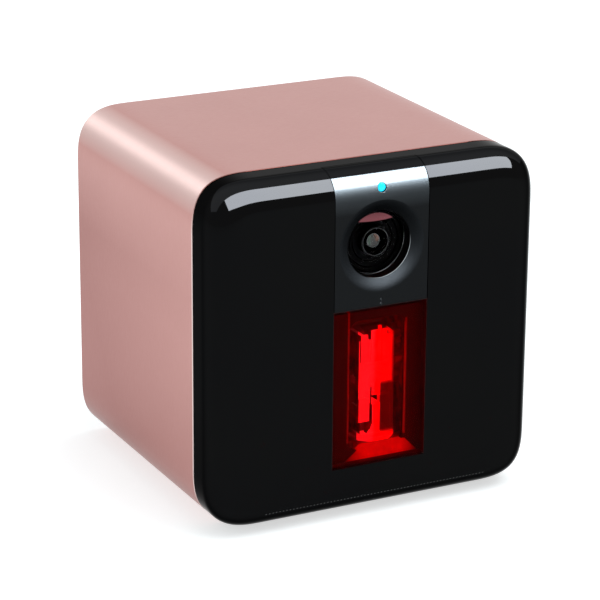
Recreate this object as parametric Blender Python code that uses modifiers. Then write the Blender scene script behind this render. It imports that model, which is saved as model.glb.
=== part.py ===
"""Cube-shaped pet camera with a two-axis laser pointer behind a red window.

Everything is in metres, +Z up, and the camera looks along -Y. The origin is on the
table, under the middle of the case. A sleeve of anodised aluminium is closed by a
gloss black nose at the front and by a plastic cover at the rear. Inside are the lens
and its board, the laser turret with its two gear trains, the main board and the
speaker. Heights and depths are stacked up from the sizes of the pieces inside.
"""

import math

import bmesh
import bpy
from mathutils import Matrix, Vector

MM = 0.001

# Case
CASE_WIDTH = 76.0 * MM
CASE_DEPTH = 70.5 * MM
NOSE_DEPTH = 10.5 * MM
SLEEVE_WALL = 1.8 * MM
COVER_WALL = 2.0 * MM
CORNER_REACH = 12.5 * MM
CORNER_POWER_SHARE = 2 / 3
EDGE_ROUND = 6.0 * MM
RIM_CHAMFER = 0.4 * MM
LEDGE_REACH = 1.5 * MM
LEDGE_THICK = 1.5 * MM

# Clearances between neighbours
SEAT_GAP = 0.2 * MM
SEAM_GAP = 0.15 * MM
RUNNING_GAP = 0.1 * MM
OVERRUN = 1.0 * MM
OVERLAP = 0.4 * MM
WELD_DISTANCE = 0.001 * MM

# Front strip: camera panel above, red window below
STRIP_WIDTH = 22.0 * MM
STRIP_REACH = 6.5 * MM
STRIP_SHELF = 1.3 * MM
PANEL_THICK = 1.0 * MM
WINDOW_FOOT = 0.05 * MM
WINDOW_BROW = 1.35 * MM
MIC_RISE = 1.5 * MM
LENS_RISE = 13.05 * MM
LED_RISE = 12.3 * MM
LED_DROP = 4.0 * MM
DISH_RADIUS = 10.4 * MM
DISH_DEPTH = 1.3 * MM
LENS_HOLE_RADIUS = 7.4 * MM
LENS_COLLAR_WALL = 1.7 * MM
LED_HOLE_RADIUS = 1.0 * MM
MIC_HOLE_RADIUS = 0.4 * MM

# Lens and its board
LENS_RING_DEPTH = 4.0 * MM
LENS_RING_THICK = 1.2 * MM
LENS_RING_BORE = 3.1 * MM
LENS_RING_BEVEL = 0.6 * MM
COVER_GLASS_RIM = 0.5 * MM
COVER_GLASS_THICK = 0.9 * MM
COVER_GLASS_RISE = 2.0 * MM
BARREL_HEAD_RADIUS = 5.2 * MM
BARREL_HEAD_LENGTH = 3.6 * MM
BARREL_RADIUS = 4.4 * MM
BARREL_LENGTH = 12.0 * MM
BARREL_WALL = 1.4 * MM
FRONT_GLASS_THICK = 1.2 * MM
FRONT_GLASS_DOME = 0.9 * MM
REAR_GLASS_THICK = 1.6 * MM
REAR_GLASS_SPACE = 3.4 * MM
HOLDER_SIDE = 13.0 * MM
HOLDER_LENGTH = 8.0 * MM
HOLDER_OVERLAP = 4.5 * MM
SENSOR_WIDTH = 6.4 * MM
SENSOR_HEIGHT = 5.2 * MM
SENSOR_THICK = 0.8 * MM
CAMERA_BOARD_SIDE = 22.0 * MM
CAMERA_POST_INSET = 2.2 * MM
CAMERA_POST_RADIUS = 1.9 * MM
BOARD_THICK = 1.2 * MM

# Small screws
SCREW_RADIUS = 0.8 * MM
SCREW_HEAD_RADIUS = 1.6 * MM
SCREW_HEAD_THICK = 1.1 * MM
SCREW_BITE = 5.0 * MM
SCREW_BORE_SPARE = 1.0 * MM
HEX_SHARE = 0.5
HEX_DEPTH_SHARE = 0.6
CROWN_RADIUS_SHARE = 0.7
CROWN_HEIGHT_SHARE = 0.6

# Status light and microphone
PIPE_FLANGE_RADIUS = 1.7 * MM
PIPE_FLANGE_THICK = 1.0 * MM
LED_SIDE = 1.6 * MM
LED_THICK = 0.7 * MM
LED_BOARD_WIDTH = 12.0 * MM
LED_BOARD_HEIGHT = 3.2 * MM
LED_PAD_WIDTH = 6.0 * MM
MIC_BOOT_WIDTH = 5.4 * MM
MIC_BOOT_HEIGHT = 2.2 * MM
MIC_BOOT_LENGTH = 3.0 * MM
MIC_WIDTH = 4.0 * MM
MIC_HEIGHT = 2.0 * MM
MIC_THICK = 1.1 * MM

# Gears of the laser turret
GEAR_MODULE = 0.4 * MM
GEAR_TEETH = 30
PINION_TEETH = 12
PRESSURE_ANGLE = math.radians(25)
ADDENDUM_SHARE = 0.8
DEDENDUM_SHARE = 1.1
BACKLASH = 0.10 * MM
CENTRE_SLACK = 0.05 * MM
GEAR_THICK = 1.6 * MM
GEAR_FLANK_STEPS = 2

# Laser turret
MOTOR_BAY_CLEAR = 0.5 * MM
PAN_MOTOR_RADIUS = 4.0 * MM
PAN_MOTOR_HEIGHT = 6.6 * MM
MOTOR_SHAFT_RADIUS = 0.6 * MM
MOTOR_SHAFT_DEPTH = 3.0 * MM
MOTOR_EAR_THICK = 0.8 * MM
MOTOR_EAR_REACH = 6.0 * MM
MOTOR_EAR_WIDTH = 3.0 * MM
CHAMBER_WALL = 1.5 * MM
CHAMBER_FLOOR = 1.8 * MM
CHAMBER_SIDE_CLEAR = 0.6 * MM
CHAMBER_HEAD_CLEAR = 2.75 * MM
CHAMBER_FLANGE_THICK = 1.2 * MM
BEZEL_THICK = 1.2 * MM
BEZEL_SIDE = 4.25 * MM
BEZEL_FOOT = 2.6 * MM
BEZEL_HEAD = 2.6 * MM
BEZEL_FLARE = 1.2 * MM
BEZEL_SILL = 2.4 * MM
BEZEL_CORNER = 2.0 * MM
BEZEL_CORNER_STEPS = 4
TURRET_CLEAR = 0.6 * MM
PAN_SPINDLE_RADIUS = 1.0 * MM
PAN_SPINDLE_HEAD = 1.7 * MM
PAN_SPINDLE_HEAD_THICK = 0.6 * MM
PAN_SPINDLE_SOCKET = 1.2 * MM
GEAR_LIFT = 0.4 * MM
TURNTABLE_RADIUS = 5.2 * MM
TURNTABLE_THICK = 1.8 * MM
TURRET_OFFSET = 3.2 * MM
TILT_RISE = 11.2 * MM
ARM_THICK = 1.2 * MM
ARM_HALF_DEPTH = 2.2 * MM
CRADLE_WIDTH = 5.6 * MM
CRADLE_HEIGHT = 6.2 * MM
CRADLE_LENGTH = 6.0 * MM
TRUNNION_RADIUS = 0.8 * MM
TILT_MOTOR_RADIUS = 3.5 * MM
YOKE_CROWN = 0.8 * MM
YOKE_BRIDGE_THICK = 1.2 * MM
LASER_RADIUS = 2.2 * MM
LASER_LENGTH = 11.6 * MM
LASER_NOSE = 6.0 * MM
LASER_MOUTH_RADIUS = 1.6 * MM
LASER_MOUTH_DEPTH = 1.5 * MM
LASER_LENS_THICK = 1.0 * MM
TILT_SECTOR = math.radians(43)
TILT_HUB_RADIUS = 2.0 * MM
TILT_HUB_STEPS = 12

# Carrier behind the nose
CARRIER_THICK = 2.0 * MM
CARRIER_SETBACK = 0.5 * MM
FRONT_BOSS_RADIUS = 2.2 * MM
FRONT_SCREW_INSET = 5.0 * MM
POST_INSET = 8.2 * MM
POST_RADIUS = 2.8 * MM
SEAL_THICK = 0.2 * MM
SEAL_INSET = 0.4 * MM
SEAL_WIDTH = 1.0 * MM
ANTENNA_WIDTH = 5.0 * MM
ANTENNA_HEIGHT = 24.0 * MM
ANTENNA_THICK = 0.8 * MM
ANTENNA_INSET = 7.6 * MM

# Rear cover
REAR_RECESS = 0.8 * MM
REAR_WALL = 2.2 * MM
REAR_GAP = 0.25 * MM
REAR_SCREW_RADIUS = 1.3 * MM
REAR_SCREW_HEAD_RADIUS = 2.6 * MM
REAR_SCREW_HEAD_THICK = 1.0 * MM
REAR_SCREW_LENGTH = 8.0 * MM
GRILLE_SLOTS = 9
GRILLE_PITCH = 3.0 * MM
GRILLE_SLOT = 1.4 * MM
GRILLE_MARGIN = 1.0 * MM
VENT_SLOTS = 7
VENT_PITCH = 3.6 * MM
VENT_SLOT = 1.4 * MM
VENT_HEIGHT = 7.0 * MM
VENT_RISE = 10.0 * MM

# Speaker
SPEAKER_DROP = 27.0 * MM
SPEAKER_RADIUS = 17.0 * MM
SPEAKER_FLANGE = 3.0 * MM
SPEAKER_FLANGE_THICK = 1.4 * MM
BASKET_DEPTH = 8.4 * MM
BASKET_WALL = 0.8 * MM
BASKET_THROAT = 6.6 * MM
MAGNET_RADIUS = 9.5 * MM
MAGNET_THICK = 6.0 * MM
MAGNET_GROOVE = 4.4 * MM
COIL_RADIUS = 5.0 * MM
COIL_WALL = 0.6 * MM
COIL_CLEAR = 0.4 * MM
COIL_DIP = 2.4 * MM
CONE_THICK = 0.6 * MM
CONE_DEPTH = 4.0 * MM
CONE_TOP = 1.4 * MM
CONE_TRAVEL = 0.3 * MM
CONE_EDGE = 2.4 * MM
CONE_ROLL = 0.8 * MM
CONE_ROLL_STEPS = 4
CAP_DOME = 1.4 * MM

# Floor of the case: feet, tray and tripod insert
FOOT_STAND = 1.0 * MM
FOOT_RADIUS = 4.0 * MM
FOOT_SINK = 0.7 * MM
FOOT_SIDE_INSET = 17.0 * MM
FOOT_END_INSET = 8.0 * MM
TRAY_THICK = 2.0 * MM
TRAY_FRONT_GAP = 3.0 * MM
TRIPOD_RADIUS = 3.175 * MM
TRIPOD_DEPTH = 7.6 * MM
INSERT_RADIUS = 5.0 * MM
INSERT_FLANGE_RADIUS = 6.4 * MM
INSERT_FLANGE_THICK = 1.0 * MM
INSERT_CAP = 1.0 * MM
INSERT_SINK = 0.2 * MM
INSERT_MARGIN = 1.5 * MM
TRAY_BOSS_WALL = 2.2 * MM
TRAY_POST_RADIUS = 2.2 * MM
TRAY_POST_INSET = 3.5 * MM

# Main board
MAIN_BOARD_RISE = 7.0 * MM
MAIN_BOARD_THICK = 1.6 * MM
BOARD_END_GAP = 0.8 * MM
SHIELD_SIDE = 18.0 * MM
SHIELD_THICK = 2.2 * MM
CHIP_OFFSET = 14.0 * MM
SINK_BASE = 1.6 * MM
SINK_HEIGHT = 7.0 * MM
SINK_FINS = 6
FIN_THICK = 1.0 * MM
WIFI_WIDTH = 12.0 * MM
WIFI_LENGTH = 14.0 * MM
WIFI_THICK = 2.2 * MM
WIFI_INSET = 6.2 * MM

# Power socket and setup button
REAR_PORT_OFFSET = 13.0 * MM
SOCKET_WIDTH = 7.8 * MM
SOCKET_HEIGHT = 3.2 * MM
SOCKET_LENGTH = 6.4 * MM
SOCKET_WALL = 0.5 * MM
SOCKET_TONGUE = 0.6 * MM
SOCKET_TONGUE_WIDTH = 3.8 * MM
SOCKET_FLOOR = 1.0 * MM
SOCKET_REVEAL = 0.3 * MM
BUTTON_RADIUS = 2.2 * MM
BUTTON_FLANGE = 0.8 * MM
BUTTON_FLANGE_THICK = 0.8 * MM
BUTTON_PROUD = 0.6 * MM
BUTTON_TRAVEL = 0.5 * MM
BUTTON_CLEAR = 0.25 * MM
SWITCH_WIDTH = 6.0 * MM
SWITCH_HEIGHT = 3.6 * MM
SWITCH_LENGTH = 3.2 * MM
PLUNGER_RADIUS = 1.0 * MM
PLUNGER_LENGTH = 1.2 * MM

# Roundness of the faceted solids
CORNER_STEPS = 6
EDGE_STEPS = 4
ROUND_SIDES = 20
SMALL_SIDES = 10
LARGE_SIDES = 28
HEX_SIDES = 6
DOME_STEPS = 3
COVER_GLASS_STEPS = 5
SHARP_ANGLE = math.radians(35)

# Heights, worked out from the table up
case_bottom = FOOT_STAND
sleeve_floor = case_bottom + SLEEVE_WALL
gear_distance = GEAR_MODULE * (GEAR_TEETH + PINION_TEETH) / 2 + CENTRE_SLACK
gear_tip = GEAR_MODULE * (GEAR_TEETH / 2 + ADDENDUM_SHARE)
pinion_tip = GEAR_MODULE * (PINION_TEETH / 2 + ADDENDUM_SHARE)
pan_motor_bottom = sleeve_floor + MOTOR_BAY_CLEAR
chamber_bottom = pan_motor_bottom + PAN_MOTOR_HEIGHT + SEAT_GAP
chamber_floor_top = chamber_bottom + CHAMBER_FLOOR
spindle_head_bottom = chamber_bottom - RUNNING_GAP - PAN_SPINDLE_HEAD_THICK
pan_gear_bottom = chamber_floor_top + GEAR_LIFT
turntable_bottom = pan_gear_bottom + GEAR_THICK + SEAT_GAP
turntable_top = turntable_bottom + TURNTABLE_THICK
tilt_z = turntable_top + TILT_RISE
tilt_motor_z = tilt_z + gear_distance
yoke_top = tilt_motor_z + TILT_MOTOR_RADIUS + YOKE_CROWN + YOKE_BRIDGE_THICK
chamber_ceiling = yoke_top + CHAMBER_HEAD_CLEAR
chamber_top = chamber_ceiling + CHAMBER_WALL
window_bottom = chamber_floor_top + WINDOW_FOOT
window_top = chamber_top + WINDOW_BROW
mic_z = window_top + MIC_RISE
lens_z = window_top + LENS_RISE
led_z = lens_z + LED_RISE
case_top = led_z + LED_DROP
case_middle_z = (case_top + case_bottom) / 2

# Depths, worked out from the front face back
front_y = -CASE_DEPTH / 2
rear_y = CASE_DEPTH / 2
rim_y = front_y + NOSE_DEPTH
nose_back_y = rim_y - SEAL_THICK - 2 * SEAM_GAP
cover_inner_y = front_y + COVER_WALL
bezel_front_y = cover_inner_y + SEAT_GAP
bezel_back_y = bezel_front_y + BEZEL_THICK
chamber_front_y = bezel_back_y + SEAT_GAP
pan_y = bezel_back_y + TURRET_CLEAR + gear_tip
pan_motor_y = pan_y + gear_distance
chamber_inner_back_y = pan_motor_y + pinion_tip + TURRET_CLEAR
chamber_back_y = chamber_inner_back_y + CHAMBER_WALL
carrier_back_y = rim_y - CARRIER_SETBACK
carrier_front_y = carrier_back_y - CARRIER_THICK
ring_front_y = front_y + LENS_RING_DEPTH
ring_back_y = ring_front_y + LENS_RING_THICK
barrel_front_y = ring_back_y + SEAT_GAP
barrel_back_y = barrel_front_y + BARREL_LENGTH
holder_front_y = barrel_back_y - HOLDER_OVERLAP
holder_back_y = holder_front_y + HOLDER_LENGTH
camera_board_y = holder_back_y + SEAT_GAP
camera_board_back_y = camera_board_y + BOARD_THICK
rear_outer_y = rear_y - REAR_RECESS
rear_inner_y = rear_outer_y - REAR_WALL
ledge_back_y = rear_inner_y - SEAM_GAP
ledge_front_y = ledge_back_y - LEDGE_THICK
speaker_face_y = rear_inner_y - SEAT_GAP

# Places that several pieces share
collar_radius = LENS_HOLE_RADIUS + LENS_COLLAR_WALL
button_flange_radius = BUTTON_RADIUS + BUTTON_CLEAR + BUTTON_FLANGE
post_x = CASE_WIDTH / 2 - POST_INSET
post_zs = (case_bottom + POST_INSET, case_top - POST_INSET)
arm_inner_x = CRADLE_WIDTH / 2 + SEAT_GAP
arm_outer_x = arm_inner_x + ARM_THICK
tilt_gear_x = arm_outer_x + SEAT_GAP
turret_reach = math.hypot(gear_tip, tilt_gear_x + GEAR_THICK)
turret_x = TURRET_OFFSET
chamber_inner_half = turret_reach + CHAMBER_SIDE_CLEAR + TURRET_OFFSET
chamber_half = chamber_inner_half + CHAMBER_WALL
front_screw_x = chamber_half + SEAT_GAP + FRONT_BOSS_RADIUS
front_screw_zs = (chamber_bottom + FRONT_SCREW_INSET, chamber_top - FRONT_SCREW_INSET)
camera_post_reach = CAMERA_BOARD_SIDE / 2 - CAMERA_POST_INSET
camera_post_places = (
    (-camera_post_reach, lens_z + camera_post_reach),
    (camera_post_reach, lens_z - camera_post_reach),
)
tray_half = CASE_WIDTH / 2 - CORNER_REACH
tray_bottom = sleeve_floor + SEAM_GAP
tray_top = tray_bottom + TRAY_THICK
tray_front_y = chamber_back_y + TRAY_FRONT_GAP
tray_back_y = ledge_front_y - SEAT_GAP
tripod_y = tray_front_y + INSERT_MARGIN + INSERT_RADIUS + TRAY_BOSS_WALL
main_board_bottom = tray_top + MAIN_BOARD_RISE
main_board_top = main_board_bottom + MAIN_BOARD_THICK
main_board_half = post_x - POST_RADIUS - BOARD_END_GAP
main_board_back_y = rear_inner_y - BOARD_END_GAP
board_middle_y = (tray_front_y + main_board_back_y) / 2
speaker_z = case_top - SPEAKER_DROP
vent_z = main_board_top + VENT_RISE
button_z = main_board_top + SEAT_GAP + button_flange_radius
socket_bottom = main_board_top + SEAT_GAP
button_inner_y = rear_inner_y - SEAT_GAP - BUTTON_FLANGE_THICK

TOWARDS_FRONT = Vector((0, -1, 0))
TOWARDS_REAR = Vector((0, 1, 0))
TOWARDS_LEFT = Vector((-1, 0, 0))
TOWARDS_RIGHT = Vector((1, 0, 0))
UPWARDS = Vector((0, 0, 1))


def clear_scene():
    """Removes every object, so that the script can run in any open file."""
    for obj in list(bpy.data.objects):
        bpy.data.objects.remove(obj, do_unlink=True)


def make_collection(name):
    collection = bpy.data.collections.new(name)
    bpy.context.scene.collection.children.link(collection)
    return collection


clear_scene()
parts = make_collection("pet_camera")
cutters = make_collection("cutters")


def material(name, colour, roughness, metallic=0.0, transmission=0.0):
    made = bpy.data.materials.new(name)
    made.use_nodes = True
    shader = made.node_tree.nodes["Principled BSDF"]
    shader.inputs["Base Color"].default_value = (*colour, 1.0)
    shader.inputs["Roughness"].default_value = roughness
    shader.inputs["Metallic"].default_value = metallic
    shader.inputs["Transmission Weight"].default_value = transmission
    made.diffuse_color = (*colour, 1.0)
    return made


ROSE_ALUMINIUM = material("rose_anodised_aluminium", (0.62, 0.36, 0.33), 0.35, 1.0)
GLOSS_BLACK = material("gloss_black_polycarbonate", (0.008, 0.008, 0.009), 0.05)
SATIN_GREY = material("satin_grey_polycarbonate", (0.035, 0.04, 0.045), 0.3)
RED_WINDOW = material("red_acrylic", (0.6, 0.0, 0.005), 0.03, transmission=0.9)
MATT_BLACK = material("matt_black_abs", (0.012, 0.012, 0.013), 0.6)
WHITE_ACETAL = material("white_acetal", (0.75, 0.74, 0.72), 0.4)
STEEL = material("steel", (0.55, 0.55, 0.56), 0.3, 1.0)
ALUMINIUM = material("bare_aluminium", (0.7, 0.7, 0.71), 0.35, 1.0)
BRASS = material("brass", (0.62, 0.45, 0.2), 0.3, 1.0)
GLASS = material("coated_glass", (0.12, 0.16, 0.14), 0.02, transmission=0.9)
SOLDER_MASK = material("solder_mask", (0.01, 0.06, 0.03), 0.4)
SENSOR_GLASS = material("sensor_glass", (0.05, 0.06, 0.09), 0.1)
RUBBER = material("black_rubber", (0.02, 0.02, 0.02), 0.8)
CYAN_LIGHT = material("cyan_light_pipe", (0.0, 0.55, 0.8), 0.2)
PAPER = material("black_paper_cone", (0.02, 0.02, 0.02), 0.9)
FERRITE = material("ferrite", (0.06, 0.06, 0.065), 0.5)


def add_object(name, data, paint=None):
    """A part with a material, or a cutter or guide without one."""
    obj = bpy.data.objects.new(name, data)
    if paint is None:
        cutters.objects.link(obj)
        obj.hide_render = True
        obj.display_type = "WIRE"
    else:
        parts.objects.link(obj)
        data.materials.append(paint)
    return obj


def mesh_from(name, bm):
    mesh = bpy.data.meshes.new(name)
    bm.to_mesh(mesh)
    bm.free()
    return mesh


def smooth(obj):
    obj.data.shade_smooth()
    obj.data.set_sharp_from_angle(angle=SHARP_ANGLE)
    return obj


def turned_to(axis):
    """The rotation that takes local +Z to the axis."""
    return axis.to_track_quat("Z", "Y").to_euler()


def block(name, low, high, paint=None):
    """A box between two opposite corners."""
    low, high = Vector(low), Vector(high)
    bm = bmesh.new()
    bmesh.ops.create_cube(bm, size=1)
    bmesh.ops.scale(bm, vec=high - low, verts=bm.verts)
    obj = add_object(name, mesh_from(name, bm), paint)
    obj.location = (low + high) / 2
    return obj


def blocks(name, corners):
    """A cutter of several boxes that don't meet, each between two opposite corners."""
    bm = bmesh.new()
    for low, high in corners:
        low, high = Vector(low), Vector(high)
        made = bmesh.ops.create_cube(bm, size=1)["verts"]
        bmesh.ops.scale(bm, vec=high - low, verts=made)
        bmesh.ops.translate(bm, vec=(low + high) / 2, verts=made)
    return add_object(name, mesh_from(name, bm))


def rod(name, radius, start, length, axis, paint=None, sides=ROUND_SIDES):
    """A cylinder that starts at a point and runs along the axis."""
    bm = bmesh.new()
    bmesh.ops.create_cone(
        bm, cap_ends=True, segments=sides, radius1=radius, radius2=radius, depth=length
    )
    obj = add_object(name, mesh_from(name, bm), paint)
    obj.location = Vector(start) + axis * length / 2
    obj.rotation_euler = turned_to(axis)
    return smooth(obj)


def turned(name, profile, start, axis, paint=None, sides=ROUND_SIDES, closed=False):
    """A turned shape. Its profile is (radius, distance along the axis), down the outer side first."""
    bm = bmesh.new()
    verts = [bm.verts.new((radius, 0, along)) for radius, along in profile]
    pairs = list(zip(verts, verts[1:]))
    if closed:
        pairs.append((verts[-1], verts[0]))
    for pair in pairs:
        bm.edges.new(pair)
    obj = add_object(name, mesh_from(name, bm), paint)
    spin = obj.modifiers.new("turning", "SCREW")
    spin.steps = spin.render_steps = sides
    spin.use_merge_vertices = True
    spin.merge_threshold = WELD_DISTANCE
    obj.location = start
    obj.rotation_euler = turned_to(axis)
    return obj


def circle(radius, centre=(0, 0), sides=ROUND_SIDES):
    steps = [math.tau * i / sides for i in range(sides)]
    return [(centre[0] + radius * math.cos(a), centre[1] + radius * math.sin(a)) for a in steps]


def rectangle(low, high):
    return [low, (high[0], low[1]), high, (low[0], high[1])]


def round_rectangle(low, high, radius, steps):
    """A rectangle with an arc at each corner."""
    points = []
    corners = ((high[0], high[1]), (low[0], high[1]), (low[0], low[1]), (high[0], low[1]))
    for turn, (x, z) in enumerate(corners):
        centre_x = x - math.copysign(radius, x - (low[0] + high[0]) / 2)
        centre_z = z - math.copysign(radius, z - (low[1] + high[1]) / 2)
        for step in range(steps + 1):
            angle = math.pi / 2 * (turn + step / steps)
            points.append((centre_x + radius * math.cos(angle), centre_z + radius * math.sin(angle)))
    return points


def plate(name, outlines, thickness, middle, axis, paint=None):
    """A flat piece that faces along the axis: outlines filled, with their holes left open."""
    curve = bpy.data.curves.new(name, "CURVE")
    curve.dimensions = "2D"
    curve.fill_mode = "BOTH"
    curve.extrude = thickness / 2
    for outline in outlines:
        spline = curve.splines.new("POLY")
        spline.points.add(len(outline) - 1)
        for point, (across, up) in zip(spline.points, outline):
            point.co = (across, up, 0, 1)
        spline.use_cyclic_u = True
    drawn = bpy.data.objects.new(name + "_outline", curve)
    cutters.objects.link(drawn)
    graph = bpy.context.evaluated_depsgraph_get()
    mesh = bpy.data.meshes.new_from_object(drawn.evaluated_get(graph))
    bpy.data.objects.remove(drawn)
    bm = bmesh.new()
    bm.from_mesh(mesh)
    bmesh.ops.remove_doubles(bm, verts=bm.verts, dist=WELD_DISTANCE)
    bm.to_mesh(mesh)
    bm.free()
    obj = add_object(name, mesh, paint)
    obj.location = middle
    # The outline's second coordinate points up on a plate that faces the front or
    # the right, and to the rear on one that lies flat.
    if axis == TOWARDS_FRONT:
        obj.rotation_euler = (math.pi / 2, 0, 0)
    elif axis == TOWARDS_RIGHT:
        obj.rotation_euler = (math.pi / 2, 0, math.pi / 2)
    return obj


def change(obj, others, operation):
    for other in others:
        step = obj.modifiers.new(other.name, "BOOLEAN")
        step.operation = operation
        step.object = other
        step.solver = "EXACT"
    return obj


def cut(obj, *others):
    return change(obj, others, "DIFFERENCE")


def join(obj, *others):
    return change(obj, others, "UNION")


def keep_inside(obj, other):
    return change(obj, [other], "INTERSECT")


def axis_empty(name, place, parent=None):
    """An empty on a joint's axis, which carries the pieces that move with it."""
    obj = bpy.data.objects.new(name, None)
    cutters.objects.link(obj)
    obj.location = place
    if parent is not None:
        obj.parent = parent
        obj.matrix_parent_inverse = Matrix.Translation(parent["place"]).inverted()
    obj["place"] = place
    return obj


def hang(empty, *pieces):
    """Parents pieces and their cutters to an empty, leaving them where they are."""
    for piece in pieces:
        cutting = [step.object for step in piece.modifiers if step.type == "BOOLEAN"]
        for obj in [piece] + cutting:
            obj.parent = empty
            obj.matrix_parent_inverse = Matrix.Translation(empty["place"]).inverted()


def case_outline(inset):
    """The case's outline drawn in by the inset. Its corners are superellipses."""
    reach = CORNER_REACH - inset
    half_width = CASE_WIDTH / 2 - CORNER_REACH
    half_height = (case_top - case_bottom) / 2 - CORNER_REACH
    points = []
    for turn, (side_x, side_z) in enumerate(((1, 1), (-1, 1), (-1, -1), (1, -1))):
        for step in range(CORNER_STEPS + 1):
            angle = math.pi / 2 * (turn + step / CORNER_STEPS)
            x = half_width + reach * abs(math.cos(angle)) ** CORNER_POWER_SHARE
            z = half_height + reach * abs(math.sin(angle)) ** CORNER_POWER_SHARE
            points.append((side_x * x, case_middle_z + side_z * z))
    return points


def loft(name, sections, paint=None):
    """A closed solid through sections (y, outline of x and z) from front to back."""
    bm = bmesh.new()
    rings = [[bm.verts.new((x, y, z)) for x, z in outline] for y, outline in sections]
    count = len(rings[0])
    for near, far in zip(rings, rings[1:]):
        for i in range(count):
            j = (i + 1) % count
            bm.faces.new((near[i], far[i], far[j], near[j]))
    bm.faces.new(rings[0])
    bm.faces.new(rings[-1][::-1])
    bmesh.ops.recalc_face_normals(bm, faces=bm.faces)
    return smooth(add_object(name, mesh_from(name, bm), paint))


def nose_sections(wall, back_y):
    """The nose's rounded body, drawn in by a wall on all sides but the back."""
    face_y = front_y + wall
    round_in = EDGE_ROUND - wall
    sections = []
    for step in range(EDGE_STEPS + 1):
        angle = math.pi / 2 * (1 - step / EDGE_STEPS)
        inset = wall + round_in * (1 - math.cos(angle))
        sections.append((face_y + round_in * (1 - math.sin(angle)), case_outline(inset)))
    sections.append((back_y, case_outline(wall)))
    sections[0] = (face_y, case_outline(wall + round_in))
    return sections


def nose_face_y(z, wall):
    """Where the nose's surface, drawn in by a wall, lies in depth at a height near the top edge."""
    round_in = EDGE_ROUND - wall
    above = max(z - (case_top - EDGE_ROUND), 0)
    return front_y + EDGE_ROUND - math.sqrt(round_in**2 - min(above, round_in) ** 2)


def case_ring(name, outer, inner, near_y, far_y, paint=None):
    """A band that follows the case's outline between two insets."""
    outlines = [case_outline(outer), case_outline(inner)]
    return plate(name, outlines, far_y - near_y, (0, (near_y + far_y) / 2, 0), TOWARDS_FRONT, paint)


def screw(name, shank, head, head_thick, length, seat, axis, paint):
    """A pan-head screw with a hex socket: its head stands on the seat, its shank runs back from it."""
    profile = [
        (0, head_thick),
        (head * CROWN_RADIUS_SHARE, head_thick),
        (head, head_thick * CROWN_HEIGHT_SHARE),
        (head, 0),
        (shank, 0),
        (shank, -length),
        (0, -length),
    ]
    obj = turned(name, profile, seat, axis, paint, SMALL_SIDES)
    depth = head_thick * HEX_DEPTH_SHARE
    socket_start = Vector(seat) + axis * (head_thick - depth)
    hexagon = rod(name + "_socket", head * HEX_SHARE, socket_start, head_thick, axis, sides=HEX_SIDES)
    return cut(obj, hexagon)


def involute(angle):
    return math.tan(angle) - angle


def tooth_flank(teeth):
    """One flank of a tooth: (radius, half angle of the tooth there), from root to tip."""
    pitch = GEAR_MODULE * teeth / 2
    base = pitch * math.cos(PRESSURE_ANGLE)
    root = pitch - GEAR_MODULE * DEDENDUM_SHARE
    tip = pitch + GEAR_MODULE * ADDENDUM_SHARE
    at_pitch = math.pi / (2 * teeth) - BACKLASH / (4 * pitch) + involute(PRESSURE_ANGLE)
    start = max(root, base)
    flank = [(root, at_pitch)] if root < base else []
    for step in range(GEAR_FLANK_STEPS + 1):
        radius = start + (tip - start) * step / GEAR_FLANK_STEPS
        flank.append((radius, at_pitch - involute(math.acos(base / radius))))
    return flank


def tooth_points(teeth, angle):
    flank = tooth_flank(teeth)
    points = [(r * math.cos(angle - half), r * math.sin(angle - half)) for r, half in flank]
    points += [(r * math.cos(angle + half), r * math.sin(angle + half)) for r, half in flank[::-1]]
    return points


def gear_outline(teeth, facing):
    """A whole gear with one tooth centred on an angle."""
    points = []
    for i in range(teeth):
        points += tooth_points(teeth, facing + math.tau * i / teeth)
    return points


def sector_outline(teeth, facing, half_angle):
    """The teeth within an angle of the facing one, closed round a hub."""
    side_teeth = int(half_angle / (math.tau / teeth))
    points = []
    for i in range(-side_teeth, side_teeth + 1):
        points += tooth_points(teeth, facing + math.tau * i / teeth)
    sweep = math.tau - 2 * half_angle
    for step in range(TILT_HUB_STEPS + 1):
        angle = facing + half_angle + sweep * step / TILT_HUB_STEPS
        points.append((TILT_HUB_RADIUS * math.cos(angle), TILT_HUB_RADIUS * math.sin(angle)))
    return points


def make_sleeve():
    """Extruded tube with a bright chamfer at its front rim and a ledge for the rear cover."""
    sleeve = loft(
        "body_sleeve",
        [
            (rim_y, case_outline(RIM_CHAMFER)),
            (rim_y + RIM_CHAMFER, case_outline(0)),
            (rear_y - RIM_CHAMFER, case_outline(0)),
            (rear_y, case_outline(RIM_CHAMFER)),
        ],
        ROSE_ALUMINIUM,
    )
    inside = case_outline(SLEEVE_WALL)
    ledge = case_outline(SLEEVE_WALL + LEDGE_REACH)
    steps = [
        (rim_y - OVERRUN, inside),
        (ledge_front_y, inside),
        (ledge_front_y, ledge),
        (ledge_back_y, ledge),
        (ledge_back_y, inside),
        (rear_y + OVERRUN, inside),
    ]
    cut(sleeve, loft("sleeve_hollow", steps))
    for i, (x, y) in enumerate(foot_places()):
        start = (x, y, case_bottom - OVERRUN)
        cut(sleeve, rod(f"foot_recess_{i}", FOOT_RADIUS + SEAT_GAP, start, OVERRUN + FOOT_SINK, UPWARDS))
    hole_start = (0, tripod_y, case_bottom - OVERRUN)
    hole_length = SLEEVE_WALL + 2 * OVERRUN
    cut(sleeve, rod("insert_hole", INSERT_RADIUS + SEAT_GAP, hole_start, hole_length, UPWARDS))


def foot_places():
    x = CASE_WIDTH / 2 - FOOT_SIDE_INSET
    return [(sx * x, y) for y in (rim_y + FOOT_END_INSET, rear_y - FOOT_END_INSET) for sx in (-1, 1)]


def make_feet():
    height = FOOT_STAND + FOOT_SINK - SEAT_GAP
    for i, (x, y) in enumerate(foot_places()):
        rod(f"foot_{i + 1}", FOOT_RADIUS, (x, y, 0), height, UPWARDS, RUBBER)


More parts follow.
